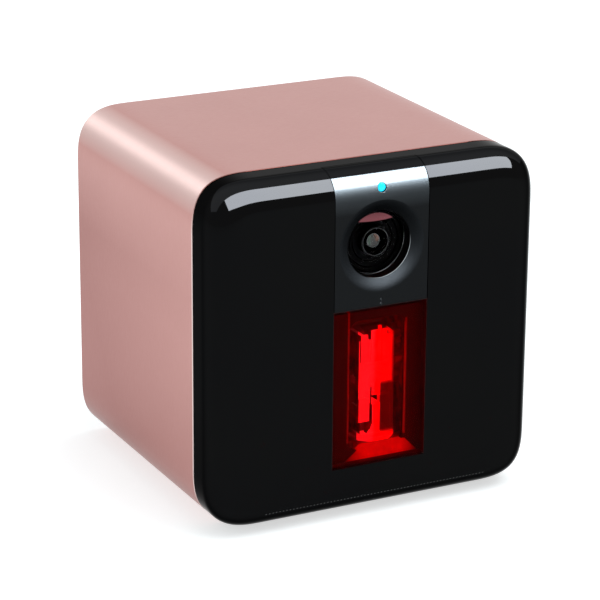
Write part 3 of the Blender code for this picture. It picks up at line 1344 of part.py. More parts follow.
def make_tray():
    """Base tray with four posts for the main board and a boss round the tripod insert."""
    middle = (0, 0, (tray_bottom + tray_top) / 2)
    outlines = [
        rectangle((-tray_half, tray_front_y), (tray_half, tray_back_y)),
        circle(INSERT_RADIUS + RUNNING_GAP, (0, tripod_y)),
    ]
    tray = plate("base_tray", outlines, TRAY_THICK, middle, UPWARDS, MATT_BLACK)
    boss_top = case_bottom + INSERT_SINK + TRIPOD_DEPTH + INSERT_CAP - INSERT_FLANGE_THICK - RUNNING_GAP
    boss = [
        (INSERT_RADIUS + TRAY_BOSS_WALL, boss_top),
        (INSERT_RADIUS + TRAY_BOSS_WALL, tray_top - OVERLAP),
        (INSERT_RADIUS + RUNNING_GAP, tray_top - OVERLAP),
        (INSERT_RADIUS + RUNNING_GAP, boss_top),
    ]
    join(tray, turned("insert_boss", boss, (0, tripod_y, 0), UPWARDS, closed=True))
    post_reach = tray_half - TRAY_POST_INSET
    post_length = MAIN_BOARD_RISE - SEAT_GAP + OVERLAP
    for x in (-post_reach, post_reach):
        for y in (tray_front_y + TRAY_POST_INSET, tray_back_y - TRAY_POST_INSET):
            start = (x, y, tray_top - OVERLAP)
            join(tray, rod("tray_post", TRAY_POST_RADIUS, start, post_length, UPWARDS, sides=SMALL_SIDES))
    bottom = case_bottom + INSERT_SINK
    top = bottom + TRIPOD_DEPTH + INSERT_CAP
    insert = [
        (0, top),
        (INSERT_FLANGE_RADIUS, top),
        (INSERT_FLANGE_RADIUS, top - INSERT_FLANGE_THICK),
        (INSERT_RADIUS, top - INSERT_FLANGE_THICK),
        (INSERT_RADIUS, bottom),
        (TRIPOD_RADIUS, bottom),
        (TRIPOD_RADIUS, bottom + TRIPOD_DEPTH),
        (0, bottom + TRIPOD_DEPTH),
    ]
    turned("tripod_insert", insert, (0, tripod_y, 0), UPWARDS, BRASS)


def make_main_board():
    """Board on the tray's posts, with its chips, heat sink and radio module."""
    low = (-main_board_half, tray_front_y, main_board_bottom)
    block("main_board", low, (main_board_half, main_board_back_y, main_board_top), SOLDER_MASK)
    shield_bottom = main_board_top + SEAM_GAP
    shield_top = shield_bottom + SHIELD_THICK
    half = SHIELD_SIDE / 2
    low = (-CHIP_OFFSET - half, board_middle_y - half, shield_bottom)
    high = (-CHIP_OFFSET + half, board_middle_y + half, shield_top)
    block("processor_shield", low, high, STEEL)
    sink_bottom = shield_top + SEAM_GAP
    pitch = (SHIELD_SIDE - FIN_THICK) / (SINK_FINS - 1)
    comb = [(half, 0), (half, SINK_HEIGHT)]
    for i in range(SINK_FINS - 1):
        fin_left = half - FIN_THICK - i * pitch
        comb += [(fin_left, SINK_HEIGHT), (fin_left, SINK_BASE)]
        next_right = half - (i + 1) * pitch
        comb += [(next_right, SINK_BASE), (next_right, SINK_HEIGHT)]
    comb += [(-half, SINK_HEIGHT), (-half, 0)]
    sink_place = (-CHIP_OFFSET, board_middle_y, sink_bottom)
    plate("heat_sink", [comb], SHIELD_SIDE, sink_place, TOWARDS_FRONT, ALUMINIUM)
    right = main_board_half - WIFI_INSET
    low = (right - WIFI_WIDTH, board_middle_y - WIFI_LENGTH / 2, shield_bottom)
    high = (right, board_middle_y + WIFI_LENGTH / 2, shield_bottom + WIFI_THICK)
    block("wifi_module", low, high, STEEL)


def make_power_socket():
    """Pressed shell with a contact tongue, its mouth just inside the rear cover's face."""
    mouth_y = rear_outer_y - SOCKET_REVEAL
    front = mouth_y - SOCKET_LENGTH
    half = SOCKET_WIDTH / 2
    top = socket_bottom + SOCKET_HEIGHT
    low = (-REAR_PORT_OFFSET - half, front, socket_bottom)
    socket = block("power_socket", low, (-REAR_PORT_OFFSET + half, mouth_y, top), STEEL)
    inner = half - SOCKET_WALL
    hollow_low = (-REAR_PORT_OFFSET - inner, front + SOCKET_FLOOR, socket_bottom + SOCKET_WALL)
    hollow_high = (-REAR_PORT_OFFSET + inner, mouth_y + OVERRUN, top - SOCKET_WALL)
    cut(socket, block("socket_hollow", hollow_low, hollow_high))
    tongue_half = SOCKET_TONGUE_WIDTH / 2
    middle_z = socket_bottom + SOCKET_HEIGHT / 2
    tongue_start = front + SOCKET_FLOOR - OVERLAP
    tongue_low = (-REAR_PORT_OFFSET - tongue_half, tongue_start, middle_z - SOCKET_TONGUE / 2)
    tongue_high = (-REAR_PORT_OFFSET + tongue_half, mouth_y - SOCKET_FLOOR, middle_z + SOCKET_TONGUE / 2)
    join(socket, block("socket_tongue", tongue_low, tongue_high))


def make_setup_button(empty):
    """A capped pin through the rear cover, which pushes a switch on the main board."""
    cap_length = rear_outer_y + BUTTON_PROUD - button_inner_y
    profile = [
        (0, cap_length),
        (BUTTON_RADIUS, cap_length),
        (BUTTON_RADIUS, BUTTON_FLANGE_THICK),
        (button_flange_radius, BUTTON_FLANGE_THICK),
        (button_flange_radius, 0),
        (PLUNGER_RADIUS, 0),
        (PLUNGER_RADIUS, -PLUNGER_LENGTH),
        (0, -PLUNGER_LENGTH),
    ]
    place = (REAR_PORT_OFFSET, button_inner_y, button_z)
    button = turned("setup_button", profile, place, TOWARDS_REAR, MATT_BLACK)
    hang(empty, button)
    half = SWITCH_WIDTH / 2
    switch_back_y = button_inner_y - BUTTON_TRAVEL - SEAT_GAP
    low = (REAR_PORT_OFFSET - half, switch_back_y - SWITCH_LENGTH, main_board_top + SEAM_GAP)
    high = (REAR_PORT_OFFSET + half, switch_back_y, button_z + SWITCH_HEIGHT / 2)
    switch = block("tact_switch", low, high, MATT_BLACK)
    bore_depth = PLUNGER_LENGTH + SEAT_GAP
    bore_start = (REAR_PORT_OFFSET, switch_back_y - bore_depth, button_z)
    bore_length = bore_depth + OVERRUN
    cut(switch, rod("plunger_bore", PLUNGER_RADIUS + RUNNING_GAP, bore_start, bore_length, TOWARDS_REAR))


def make_everything():
    pan_empty = axis_empty("pan_axis", (turret_x, pan_y, chamber_floor_top))
    tilt_empty = axis_empty("tilt_axis", (turret_x, pan_y, tilt_z), pan_empty)
    tilt_pinion_place = (turret_x, pan_y, tilt_motor_z)
    tilt_pinion_empty = axis_empty("tilt_pinion_axis", tilt_pinion_place, pan_empty)
    pan_pinion_place = (turret_x, pan_motor_y, chamber_floor_top)
    pan_pinion_empty = axis_empty("pan_pinion_axis", pan_pinion_place)
    button_empty = axis_empty("button_axis", (REAR_PORT_OFFSET, button_inner_y, button_z))
    speaker_empty = axis_empty("speaker_axis", (0, speaker_face_y, speaker_z))
    make_sleeve()
    make_feet()
    make_front_cover()
    make_camera_panel()
    make_laser_window()
    make_front_seal()
    make_carrier([make_status_light(), make_microphone()])
    make_antenna()
    make_lens()
    make_small_screws()
    make_chamber_bezel()
    make_laser_chamber()
    make_pan_motor()
    make_pan_pinion(pan_pinion_empty)
    make_turret_base(pan_empty)
    make_tilt_drive(pan_empty, tilt_pinion_empty)
    make_laser_head(tilt_empty)
    make_rear_cover()
    make_speaker(speaker_empty)
    make_tray()
    make_main_board()
    make_power_socket()
    make_setup_button(button_empty)


make_everything()
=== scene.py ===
import math

import bmesh
import bpy
from mathutils import Matrix, Vector


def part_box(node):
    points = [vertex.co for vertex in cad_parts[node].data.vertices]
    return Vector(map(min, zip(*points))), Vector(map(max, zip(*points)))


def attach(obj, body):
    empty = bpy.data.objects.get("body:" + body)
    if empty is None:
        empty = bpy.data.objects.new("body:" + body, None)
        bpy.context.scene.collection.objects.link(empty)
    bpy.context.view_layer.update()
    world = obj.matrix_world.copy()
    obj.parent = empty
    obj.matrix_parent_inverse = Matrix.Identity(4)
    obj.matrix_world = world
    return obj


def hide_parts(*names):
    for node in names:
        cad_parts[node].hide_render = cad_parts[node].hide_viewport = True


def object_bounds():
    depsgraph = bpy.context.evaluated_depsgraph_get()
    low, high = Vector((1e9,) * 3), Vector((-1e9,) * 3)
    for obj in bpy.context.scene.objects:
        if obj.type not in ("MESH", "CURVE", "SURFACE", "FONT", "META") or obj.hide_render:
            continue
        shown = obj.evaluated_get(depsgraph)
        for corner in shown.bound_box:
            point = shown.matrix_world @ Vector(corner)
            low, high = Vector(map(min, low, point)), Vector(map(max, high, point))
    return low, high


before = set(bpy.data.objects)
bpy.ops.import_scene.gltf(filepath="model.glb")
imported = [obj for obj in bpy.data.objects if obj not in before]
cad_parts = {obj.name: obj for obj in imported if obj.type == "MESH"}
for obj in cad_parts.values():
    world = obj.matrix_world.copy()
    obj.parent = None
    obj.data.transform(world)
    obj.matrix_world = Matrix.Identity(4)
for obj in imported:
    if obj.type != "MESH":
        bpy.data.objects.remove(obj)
cadLow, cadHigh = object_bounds()
mm = 0.001
front, rear = Vector((0, -1, 0)), Vector((0, 1, 0))
up, right = Vector((0, 0, 1)), Vector((1, 0, 0))
print("frame loaded")


# Colours and materials

def colour(text):
    parts = [int(text[i : i + 2], 16) / 255 for i in (1, 3, 5)]
    linear = [v / 12.92 if v <= 0.04045 else ((v + 0.055) / 1.055) ** 2.4 for v in parts]
    return (*linear, 1.0)


# inputs by place or by name: a socket is linked, anything else is set
def addNode(tree, kind, inputs=(), **settings):
    made = tree.nodes.new("ShaderNode" + kind)
    for key, value in settings.items():
        setattr(made, key, value)
    for key, value in inputs.items() if isinstance(inputs, dict) else enumerate(inputs):
        if isinstance(value, bpy.types.NodeSocket):
            tree.links.new(value, made.inputs[key])
        else:
            made.inputs[key].default_value = value
    return made


def shaderOf(material):
    tree = material.node_tree
    return tree, next(n for n in tree.nodes if n.type == "BSDF_PRINCIPLED")


def newMaterial(name):
    material = bpy.data.materials.new(name)
    material.use_nodes = True
    return (material, *shaderOf(material))


noiseSpan = (0.3, 0.7)  # the noise rarely leaves this range


def scaledNoise(tree, size, stretch=(1, 1, 1), detail=3.0):
    place = addNode(tree, "TexCoord").outputs["Object"]
    moved = addNode(tree, "Mapping", {"Vector": place, "Scale": [1 / (size * s) for s in stretch]}).outputs[0]
    inputs = {"Vector": moved, "Scale": 1.0, "Detail": detail, "Roughness": 0.55}
    return addNode(tree, "TexNoise", inputs).outputs["Fac"]


# One surface: two close colours in a broad cloud, and a fine grain in roughness and height.
def surface(name, first, second, rough, cloud=14 * mm, grain=0.3 * mm, stretch=(1, 1, 1), spread=0.05,
            height=0.004 * mm, bump=0.3, **constants):
    material, tree, shader = newMaterial(name)
    broad = addNode(tree, "MapRange", (scaledNoise(tree, cloud), *noiseSpan)).outputs[0]
    fine = scaledNoise(tree, grain, stretch, detail=4.0)
    mixed = addNode(tree, "Mix", {0: broad, 6: colour(first), 7: colour(second)}, data_type="RGBA").outputs[2]
    roughness = addNode(tree, "MapRange", (fine, *noiseSpan, rough - spread, rough + spread)).outputs[0]
    raised = addNode(tree, "Bump", {"Height": fine, "Strength": bump, "Distance": height}).outputs[0]
    for socket, value in (("Base Color", mixed), ("Roughness", roughness), ("Normal", raised)):
        tree.links.new(value, shader.inputs[socket])
    for key, value in constants.items():
        shader.inputs[key.replace("_", " ")].default_value = value
    return material


# Painted red glow for plastic that the red diodes light: red emission between two strengths, with fine upright
# streaks.
def litSurface(name, base, tint, low, high, streak=0.15, rough=0.4, redness=1.0):
    material, tree, shader = newMaterial(name)
    fine = scaledNoise(tree, 0.5 * mm, (1, 1, 9))
    cloudy = scaledNoise(tree, 2.5 * mm)
    red = addNode(tree, "MapRange", (cloudy, *noiseSpan, 0.0, redness)).outputs[0]
    mixed = addNode(tree, "Mix", {0: red, 6: colour(base), 7: colour(tint)}, data_type="RGBA").outputs[2]
    amount = addNode(tree, "MapRange", (cloudy, *noiseSpan, low, high)).outputs[0]
    streaks = addNode(tree, "MapRange", (fine, *noiseSpan, 1 - streak, 1 + streak)).outputs[0]
    strength = addNode(tree, "Math", (amount, streaks), operation="MULTIPLY").outputs[0]
    roughness = addNode(tree, "MapRange", (fine, *noiseSpan, rough - 0.06, rough + 0.06)).outputs[0]
    for socket, value in (("Base Color", mixed), ("Emission Strength", strength), ("Roughness", roughness)):
        tree.links.new(value, shader.inputs[socket])
    shader.inputs["Emission Color"].default_value = colour(tint)
    shader.inputs["Specular IOR Level"].default_value = 0.1
    return material


# 1 between two places, falling to 0 over a soft reach on both sides
def within(tree, value, low, high, soft):
    sides = [addNode(tree, "MapRange", (value, *span), interpolation_type="SMOOTHSTEP").outputs[0]
             for span in ((low - soft, low), (high, high + soft))]
    return addNode(tree, "Math", sides, operation="SUBTRACT").outputs[0]


# Shares of a surface from a table of steps. Each has a name, what is done, and the values or names it takes.
def workOut(tree, steps):
    place = addNode(tree, "TexCoord").outputs["Object"]
    axes = addNode(tree, "SeparateXYZ", (place,)).outputs
    known = {"place": place, "x": axes["X"], "y": axes["Y"], "z": axes["Z"]}
    for name, done, *values in steps:
        values = [known.get(value, value) if isinstance(value, str) else value for value in values]
        if done == "fade":  # value, from, to, share there, share here
            known[name] = addNode(tree, "MapRange", values).outputs[0]
        elif done == "within":
            known[name] = within(tree, *values)
        elif done == "distance":
            known[name] = addNode(tree, "VectorMath", values, operation="DISTANCE").outputs["Value"]
        else:
            known[name] = addNode(tree, "Math", values, operation=done).outputs[0]
    return known


# where the share is 1, the surface takes the tone
def toneWhere(material, share, tone):
    tree, shader = shaderOf(material)
    socket = shader.inputs["Base Color"]
    inputs = {0: share, 6: socket.links[0].from_socket, 7: colour(tone)}
    tree.links.new(addNode(tree, "Mix", inputs, data_type="RGBA").outputs[2], socket)


# the surface shines as strongly as the share says
def shineWhere(material, share):
    tree, shader = shaderOf(material)
    socket = shader.inputs["Emission Strength"]
    made = addNode(tree, "Math", (socket.links[0].from_socket, share), operation="MULTIPLY")
    tree.links.new(made.outputs[0], socket)


print("materials ready")


# Shapes

middleOfAll = (cadLow + cadHigh) / 2


def paint(bm, index):
    # faces made since the last call take this material
    for face in bm.faces:
        if not face.tag:
            face.material_index = index
            face.tag = True


def asObject(bm, name, shell=False):
    bmesh.ops.remove_doubles(bm, verts=bm.verts, dist=0.0005 * mm)
    bmesh.ops.recalc_face_normals(bm, faces=bm.faces)
    # an open shell faces away from the object's middle
    if shell and sum(f.normal.dot(f.calc_center_median() - middleOfAll) * f.calc_area() for f in bm.faces) < 0:
        bmesh.ops.reverse_faces(bm, faces=bm.faces)
    mesh = bpy.data.meshes.new(name)
    bm.to_mesh(mesh)
    bm.free()
    made = bpy.data.objects.new(name, mesh)
    bpy.context.scene.collection.objects.link(made)
    return made


def shadeByAngle(mesh, limit):
    bm = bmesh.new()
    bm.from_mesh(mesh)
    for item in bm.edges:
        item.smooth = len(item.link_faces) == 2 and item.calc_face_angle() < limit
    for face in bm.faces:
        face.smooth = True
    bm.to_mesh(mesh)
    bm.free()


# thick: Solidify inwards. cutters: Boolean shapes, taken away. edge: small bevel on all sharp edges.
def piece(bm, name, materials, replaced=(), body="housing", edge=0.0, edgeSegments=2, sharp=33,
          thick=0.0, cutters=()):
    made = asObject(bm, name, shell=thick > 0)
    for material in materials:
        made.data.materials.append(material)
    if thick:
        solid = made.modifiers.new("thickness", "SOLIDIFY")
        solid.thickness = thick
        solid.offset = -1
        solid.use_even_offset = True
    tools = [asObject(shape, f"{name}_cutter") for shape in cutters]
    for tool in tools:
        change = made.modifiers.new("cut", "BOOLEAN")
        change.operation = "DIFFERENCE"
        change.object = tool
        change.solver = "EXACT"
    if made.modifiers:
        graph = bpy.context.evaluated_depsgraph_get()
        result = bpy.data.meshes.new_from_object(made.evaluated_get(graph))
        made.modifiers.clear()
        made.data = result
    for tool in tools:
        bpy.data.objects.remove(tool)
    limit = math.radians(sharp)
    shadeByAngle(made.data, limit)
    if edge:
        bevel = made.modifiers.new("edges", "BEVEL")
        bevel.width = edge
        bevel.segments = edgeSegments
        bevel.limit_method = "ANGLE"
        bevel.angle_limit = limit
        bevel.harden_normals = True
    weighted = made.modifiers.new("normals", "WEIGHTED_NORMAL")
    weighted.keep_sharp = True
    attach(made, body)
    if replaced:
        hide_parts(*replaced)
    return made


def block(bm, low, high):
    low, high = Vector(low), Vector(high)
    place = Matrix.Translation((low + high) / 2) @ Matrix.Diagonal((*(high - low), 1))
    return bmesh.ops.create_cube(bm, size=1, matrix=place)["verts"]


def roundEdges(bm, edges, offset, segments, profile=0.5):
    inputs = {"geom": edges, "offset": offset, "offset_type": "OFFSET", "segments": segments}
    bmesh.ops.bevel(bm, **inputs, profile=profile, affect="EDGES", material=-1, clamp_overlap=True)


# a block whose four edges from front to rear are rounded
def roundBlock(bm, low, high, reach, segments=6, profile=0.5):
    edges = {e for v in block(bm, low, high) for e in v.link_edges}
    along = [e for e in edges if all(abs(e.verts[0].co[i] - e.verts[1].co[i]) < 1e-7 for i in (0, 2))]
    roundEdges(bm, along, reach, segments, profile)


# a ring, disc or dome from its half section: (radius, distance along the axis) pairs
def turned(bm, section, centre, axis, steps=48, closed=False):
    axis, centre = Vector(axis).normalized(), Vector(centre)
    side = axis.orthogonal().normalized()
    verts = [bm.verts.new(centre + side * r + axis * h) for r, h in section]
    edges = [bm.edges.new(pair) for pair in zip(verts, verts[1:])]
    if closed:
        edges.append(bm.edges.new((verts[-1], verts[0])))
    inputs = {"geom": verts + edges, "cent": centre, "axis": axis, "angle": math.tau, "steps": steps}
    bmesh.ops.spin(bm, **inputs, use_merge=True)


def rod(bm, radius, start, axis, length, steps=32):
    turned(bm, [(0, 0), (radius, 0), (radius, length), (0, length)], start, axis, steps)


def tube(bm, outer, inner, start, axis, length, steps=48):
    section = [(inner, 0), (outer, 0), (outer, length), (inner, length)]
    turned(bm, section, start, axis, steps, closed=True)


# a solid between two outlines with the same number of corners
def lofted(bm, first, second):
    rings = [[bm.verts.new(c) for c in outline] for outline in (first, second)]
    for i in range(len(first)):
        j = (i + 1) % len(first)
        bm.faces.new((rings[0][i], rings[0][j], rings[1][j], rings[1][i]))
    bm.faces.new(rings[0])
    bm.faces.new(rings[1])


# one of the shapes above, by itself
def cutter(make, *values):
    bm = bmesh.new()
    make(bm, *values)
    return bm


# a CAD node's low and high corner, its middle, and half its width
def measured(node):
    low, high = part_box(node)
    return low, high, (low + high) / 2, (high.x - low.x) / 2


# Camera, fitted to the photo

view = {"lens": 163.7507, "sensor": 36, "azimuth": -27.0365, "elevation": 19.0534, "roll": 0.439,
        "distance": 600 * mm, "across": 1.6458 * mm, "along": -3.0277 * mm, "target": (0, 5.25 * mm, 38.5 * mm)}


def addCamera():
    a, e, r = (math.radians(view[key]) for key in ("azimuth", "elevation", "roll"))
    back = Vector((math.sin(a) * math.cos(e), -math.cos(a) * math.cos(e), math.sin(e)))
    level = Vector((math.cos(a), math.sin(a), 0))
    over = back.cross(level)
    across = level * math.cos(r) + over * math.sin(r)
    upwards = over * math.cos(r) - level * math.sin(r)
    place = back * view["distance"] + across * view["across"] + upwards * view["along"] + Vector(view["target"])
    camera = bpy.data.cameras.new("camera")
    camera.lens = view["lens"]
    camera.sensor_width = view["sensor"]
    camera.clip_start = 0.01
    holder = bpy.data.objects.new("camera", camera)
    bpy.context.scene.collection.objects.link(holder)
    turn = Matrix((across, upwards, back)).transposed()
    holder.matrix_world = Matrix.Translation(place) @ turn.to_4x4()
    bpy.context.scene.camera = holder


addCamera()
bpy.context.scene.view_settings.view_transform = "Standard"


# Light, floor and white surroundings

studio = {
    "worldSeen": 1.0,
    "worldSoft": 0.55,
    "floorWhite": "#D6DEE0",
    "floorCloud": "#D2DADC",
    "floorLift": 0.6,
    "floorSize": 3.0,
    "floorFade": (0.25, 1.2),
    "lamps": [
        # name, place, aimed at, size, power
        ("key", (0.35, -0.25, 1.15), (0, 0, 0.04), (0.9, 0.9), 9.0),
        ("rearHigh", (-0.38, 1.0, 0.56), (0, 0, 0.06), (0.5, 0.4), 0.55),
        ("sideLow", (-0.75, 0.1, 0.35), (-0.04, 0, 0.04), (0.4, 0.4), 0.4),
    ],
    # softboxes over the glossy front: low and high edge (y, z), middle x, width, power
    "band": {"low": (-0.79, 0.56), "high": (-0.115, 0.97), "x": 0.13, "width": 1.5, "power": 312.0},
    "noseTop": {"low": (-0.11, 0.985), "high": (1.0, 0.7), "x": 0.0, "width": 5.0, "power": 48.0},
    "softboxTint": "#F4FAFF",
    "softboxAim": (0, -0.03, 0.07),
}


def areaLamp(name, size, power, tint, place, turn):
    lamp = bpy.data.lights.new(name, "AREA")
    lamp.shape = "RECTANGLE"
    lamp.size, lamp.size_y = size
    lamp.energy = power
    lamp.color = colour(tint)[:3]
    holder = bpy.data.objects.new(name, lamp)
    bpy.context.scene.collection.objects.link(holder)
    holder.matrix_world = Matrix.Translation(place) @ turn.to_4x4()
    return holder


def addLamp(name, place, target, size, power):
    place = Vector(place)
    aim = (Vector(target) - place).to_track_quat("-Z", "Y")
    return areaLamp(name, size, power, "#FFFFFF", place, aim.to_matrix())


# The softboxes that the photo shows on the glossy front: each shines on the pieces named, and on nothing else.
def addSoftbox(name, receivers):
    facts = studio[name]
    low, high = (Vector((facts["x"], *facts[end])) for end in ("low", "high"))
    place = (low + high) / 2
    tall = (high - low).normalized()
    wide = Vector((1, 0, 0))
    facing = wide.cross(tall)
    if facing.dot(place - Vector(studio["softboxAim"])) < 0:
        wide, facing = -wide, -facing
    size = (facts["width"], (high - low).length)
    turn = Matrix((wide, tall, facing)).transposed()
    holder = areaLamp(name, size, facts["power"], studio["softboxTint"], place, turn)
    linked = bpy.data.collections.new(f"{name}Receivers")
    for receiver in receivers:
        linked.objects.link(receiver)
    holder.light_linking.receiver_collection = linked
    holder.visible_diffuse = False
    holder.visible_transmission = False


# the lamps that light the sleeve and the floor leave the glossy nose alone
def keepOff(lamps, pieces):
    for holder in lamps:
        hidden = bpy.data.collections.new(f"{holder.name}Hidden")
        for item in pieces:
            hidden.objects.link(item)
        for entry in hidden.collection_objects:
            entry.light_linking.link_state = "EXCLUDE"
        holder.light_linking.receiver_collection = hidden


# 1 for camera, glossy and transmitted rays, and 0 for the light that falls on things
def seenRays(tree):
    rays = addNode(tree, "LightPath").outputs
    seen = rays["Is Camera Ray"]
    for kind in ("Is Glossy Ray", "Is Transmission Ray"):
        seen = addNode(tree, "Math", (seen, rays[kind]), operation="MAXIMUM").outputs[0]
    return seen


def addWorld():
    world = bpy.data.worlds.new("studioWhite")
    bpy.context.scene.world = world
    world.use_nodes = True
    tree = world.node_tree
    shader = next(n for n in tree.nodes if n.type == "BACKGROUND")
    shader.inputs["Color"].default_value = colour("#FFFFFF")
    strengths = (seenRays(tree), 0.0, 1.0, studio["worldSoft"], studio["worldSeen"])
    tree.links.new(addNode(tree, "MapRange", strengths).outputs[0], shader.inputs["Strength"])


def addFloor():
    bm = bmesh.new()
    bmesh.ops.create_grid(bm, x_segments=8, y_segments=8, size=studio["floorSize"])
    floor = asObject(bm, "studioFloor")
    material, tree, shader = newMaterial("floorPaper")
    place = addNode(tree, "TexCoord").outputs["Object"]
    away = addNode(tree, "VectorMath", (place,), operation="LENGTH").outputs["Value"]
    far = addNode(tree, "MapRange", (away, *studio["floorFade"])).outputs[0]
    cloudy = addNode(tree, "MapRange", (scaledNoise(tree, 30 * mm), *noiseSpan)).outputs[0]
    tones = {0: cloudy, 6: colour(studio["floorWhite"]), 7: colour(studio["floorCloud"])}
    white = addNode(tree, "Mix", tones, data_type="RGBA").outputs[2]
    base = addNode(tree, "Mix", {0: far, 6: white, 7: colour("#000000")}, data_type="RGBA").outputs[2]
    lift = addNode(tree, "MapRange", (far, 0.0, 1.0, studio["floorLift"], 1.0)).outputs[0]
    strength = addNode(tree, "Math", (lift, seenRays(tree)), operation="MULTIPLY").outputs[0]
    tree.links.new(base, shader.inputs["Base Color"])
    tree.links.new(strength, shader.inputs["Emission Strength"])
    shader.inputs["Emission Color"].default_value = colour("#FFFFFF")
    shader.inputs["Roughness"].default_value = 1.0
    shader.inputs["Specular IOR Level"].default_value = 0.0
    floor.data.materials.append(material)


addWorld()
addFloor()
softLamps = [addLamp(*lampFacts) for lampFacts in studio["lamps"]]
print("camera, lamps and floor ready")


# Sleeve: anodised rose aluminium, bead blasted, with a bright chamfer at its rims

roseMetal = surface("roseAnodisedAluminium", "#C08C86", "#BC8882", 0.34, cloud=22 * mm, grain=0.16 * mm,
                    stretch=(9, 1, 9), spread=0.04, height=0.002 * mm, bump=0.25, Metallic=1.0)
sleevePaintedLight = [
    # painted shade: the upright sides are painted darker, most at their rear and foot
    ("aside", "ABSOLUTE", "x"),
    ("onSide", "fade", "aside", 33 * mm, 37.8 * mm, 0.0, 1.0),
    ("towardsRear", "fade", "y", -25 * mm, 33 * mm, 0.35, 1.0),
    ("towardsFoot", "fade", "z", 2 * mm, 40 * mm, 0.25, 0.0),
    ("belowRound", "fade", "z", 50 * mm, 68 * mm, 1.0, 0.1),
    ("paintedSideShade", "ADD", "towardsRear", "towardsFoot"),
    ("paintedSideShade", "MULTIPLY", "onSide", "paintedSideShade"),
    ("paintedSideShade", "MULTIPLY", "paintedSideShade", "belowRound"),
    # painted highlight on the upper left rounding and on the front rim's side
    ("rim", "fade", "y", -24.46 * mm, -24.38 * mm, 1.0, 0.0),
    ("upper", "SUBTRACT", "z", "x"),
    ("paintedHighlight", "fade", "upper", 105.9 * mm, 109.2 * mm, 0.0, 0.64),
    ("rimSideHighlight", "fade", "z", 64 * mm, 71 * mm, 0.7, 0.0),
    ("rimSideHighlight", "MULTIPLY", "rim", "rimSideHighlight"),
    ("paintedHighlight", "MAXIMUM", "paintedHighlight", "rimSideHighlight"),
    # painted shade under the lower roundings and on the rim's top
    ("lower", "SUBTRACT", "aside", "z"),
    ("paintedLowShade", "fade", "lower", 29.5 * mm, 33.5 * mm, 0.0, 0.6),
    ("rimTopShade", "fade", "z", 68 * mm, 74 * mm, 0.0, 0.92),
    ("rimTopShade", "MULTIPLY", "rim", "rimTopShade"),
    ("paintedLowShade", "MAXIMUM", "paintedLowShade", "rimTopShade"),
]
sleeveLightShares = workOut(roseMetal.node_tree, sleevePaintedLight)
# each painted share of light or shade takes its tone
for shareName, toneThere in (("paintedSideShade", "#9A625C"), ("paintedHighlight", "#EADCD8"), ("paintedLowShade", "#7A463F")):
    toneWhere(roseMetal, sleeveLightShares[shareName], toneThere)

caseShape = {"low": (-38 * mm, 1 * mm), "high": (38 * mm, 76 * mm), "reach": 12.5 * mm, "power": 0.63, "steps": 18}
faceY = -35.25 * mm  # front of nose and panel
noseRound = 6 * mm
caseFoot = caseShape["low"][1]


def caseBlock(bm, frontY, rearY):
    (x0, z0), (x1, z1) = caseShape["low"], caseShape["high"]
    roundBlock(bm, (x0, frontY, z0), (x1, rearY, z1), caseShape["reach"], caseShape["steps"], caseShape["power"])


def facesAt(bm, axis, value):
    return [f for f in bm.faces if all(abs(v.co[axis] - value) < 1e-6 for v in f.verts)]


def makeSleeve():
    facts = {"front": -24.75 * mm, "rear": 35.25 * mm, "wall": 1.8 * mm, "chamfer": 0.35 * mm,
             "footX": 21 * mm, "footY": (-16.75 * mm, 27.25 * mm), "footRadius": 4.15 * mm, "recess": 0.7 * mm,
             "tripodY": 0.04 * mm, "tripodRadius": 5.15 * mm}
    bm = bmesh.new()
    caseBlock(bm, facts["front"], facts["rear"])
    ends = facesAt(bm, 1, facts["front"]) + facesAt(bm, 1, facts["rear"])
    bmesh.ops.delete(bm, geom=ends, context="FACES_ONLY")
    below = caseFoot - 1 * mm
    cutters = [cutter(rod, facts["footRadius"], (x, y, below), up, facts["recess"] + 1 * mm)
               for x in (-facts["footX"], facts["footX"]) for y in facts["footY"]]
    cutters.append(cutter(rod, facts["tripodRadius"], (0, facts["tripodY"], below), up, 4 * mm, 48))
    piece(bm, "sleeve", [roseMetal], ["body_sleeve"], edge=facts["chamfer"], edgeSegments=1,
          thick=facts["wall"], cutters=cutters)


makeSleeve()
print("sleeve ready")


# Nose: the gloss black front with the slot for the strip

# Black mirror gloss: a low reflection that hardly grows at the edges, as the photo shows
glossBlack = surface("glossBlackPolycarbonate", "#0F0F10", "#101010", 0.04, cloud=30 * mm, grain=2.5 * mm,
                     spread=0.01, height=0.001 * mm, bump=0.05, Metallic=1.0, Specular_Tint=colour("#BBBBBB"))
# Lighter grey rims of the sound holes, a faint dotted line
holeRim = surface("soundHoleRim", "#28292B", "#111213", 0.5, cloud=1.1 * mm, grain=0.1 * mm, spread=0.1,
                  height=0.004 * mm, bump=0.4)


def cutAcross(bm, point, normal):
    geometry = bm.verts[:] + bm.edges[:] + bm.faces[:]
    bmesh.ops.bisect_plane(bm, geom=geometry, plane_co=point, plane_no=normal, dist=1e-7)


def makeNose():
    facts = {"rear": -25.25 * mm, "steps": 14, "wall": 2 * mm, "slotX": 11 * mm, "slotLow": 11.8 * mm,
             "slotRear": -28.75 * mm}
    bm = bmesh.new()
    caseBlock(bm, faceY, facts["rear"])
    face = facesAt(bm, 1, faceY)[0]
    roundEdges(bm, list(face.edges), noseRound, facts["steps"])
    bmesh.ops.delete(bm, geom=facesAt(bm, 1, facts["rear"]), context="FACES_ONLY")
    for x in (-facts["slotX"], facts["slotX"]):
        cutAcross(bm, (x, 0, 0), right)
    cutAcross(bm, (0, 0, facts["slotLow"]), up)
    cutAcross(bm, (0, facts["slotRear"], 0), rear)
    inside = []
    for item in bm.faces:
        spot = item.calc_center_median()
        if abs(spot.x) < facts["slotX"] and spot.z > facts["slotLow"] and spot.y < facts["slotRear"]:
            inside.append(item)
    bmesh.ops.delete(bm, geom=inside, context="FACES")
    return piece(bm, "nose", [glossBlack], ["front_cover"], thick=facts["wall"])


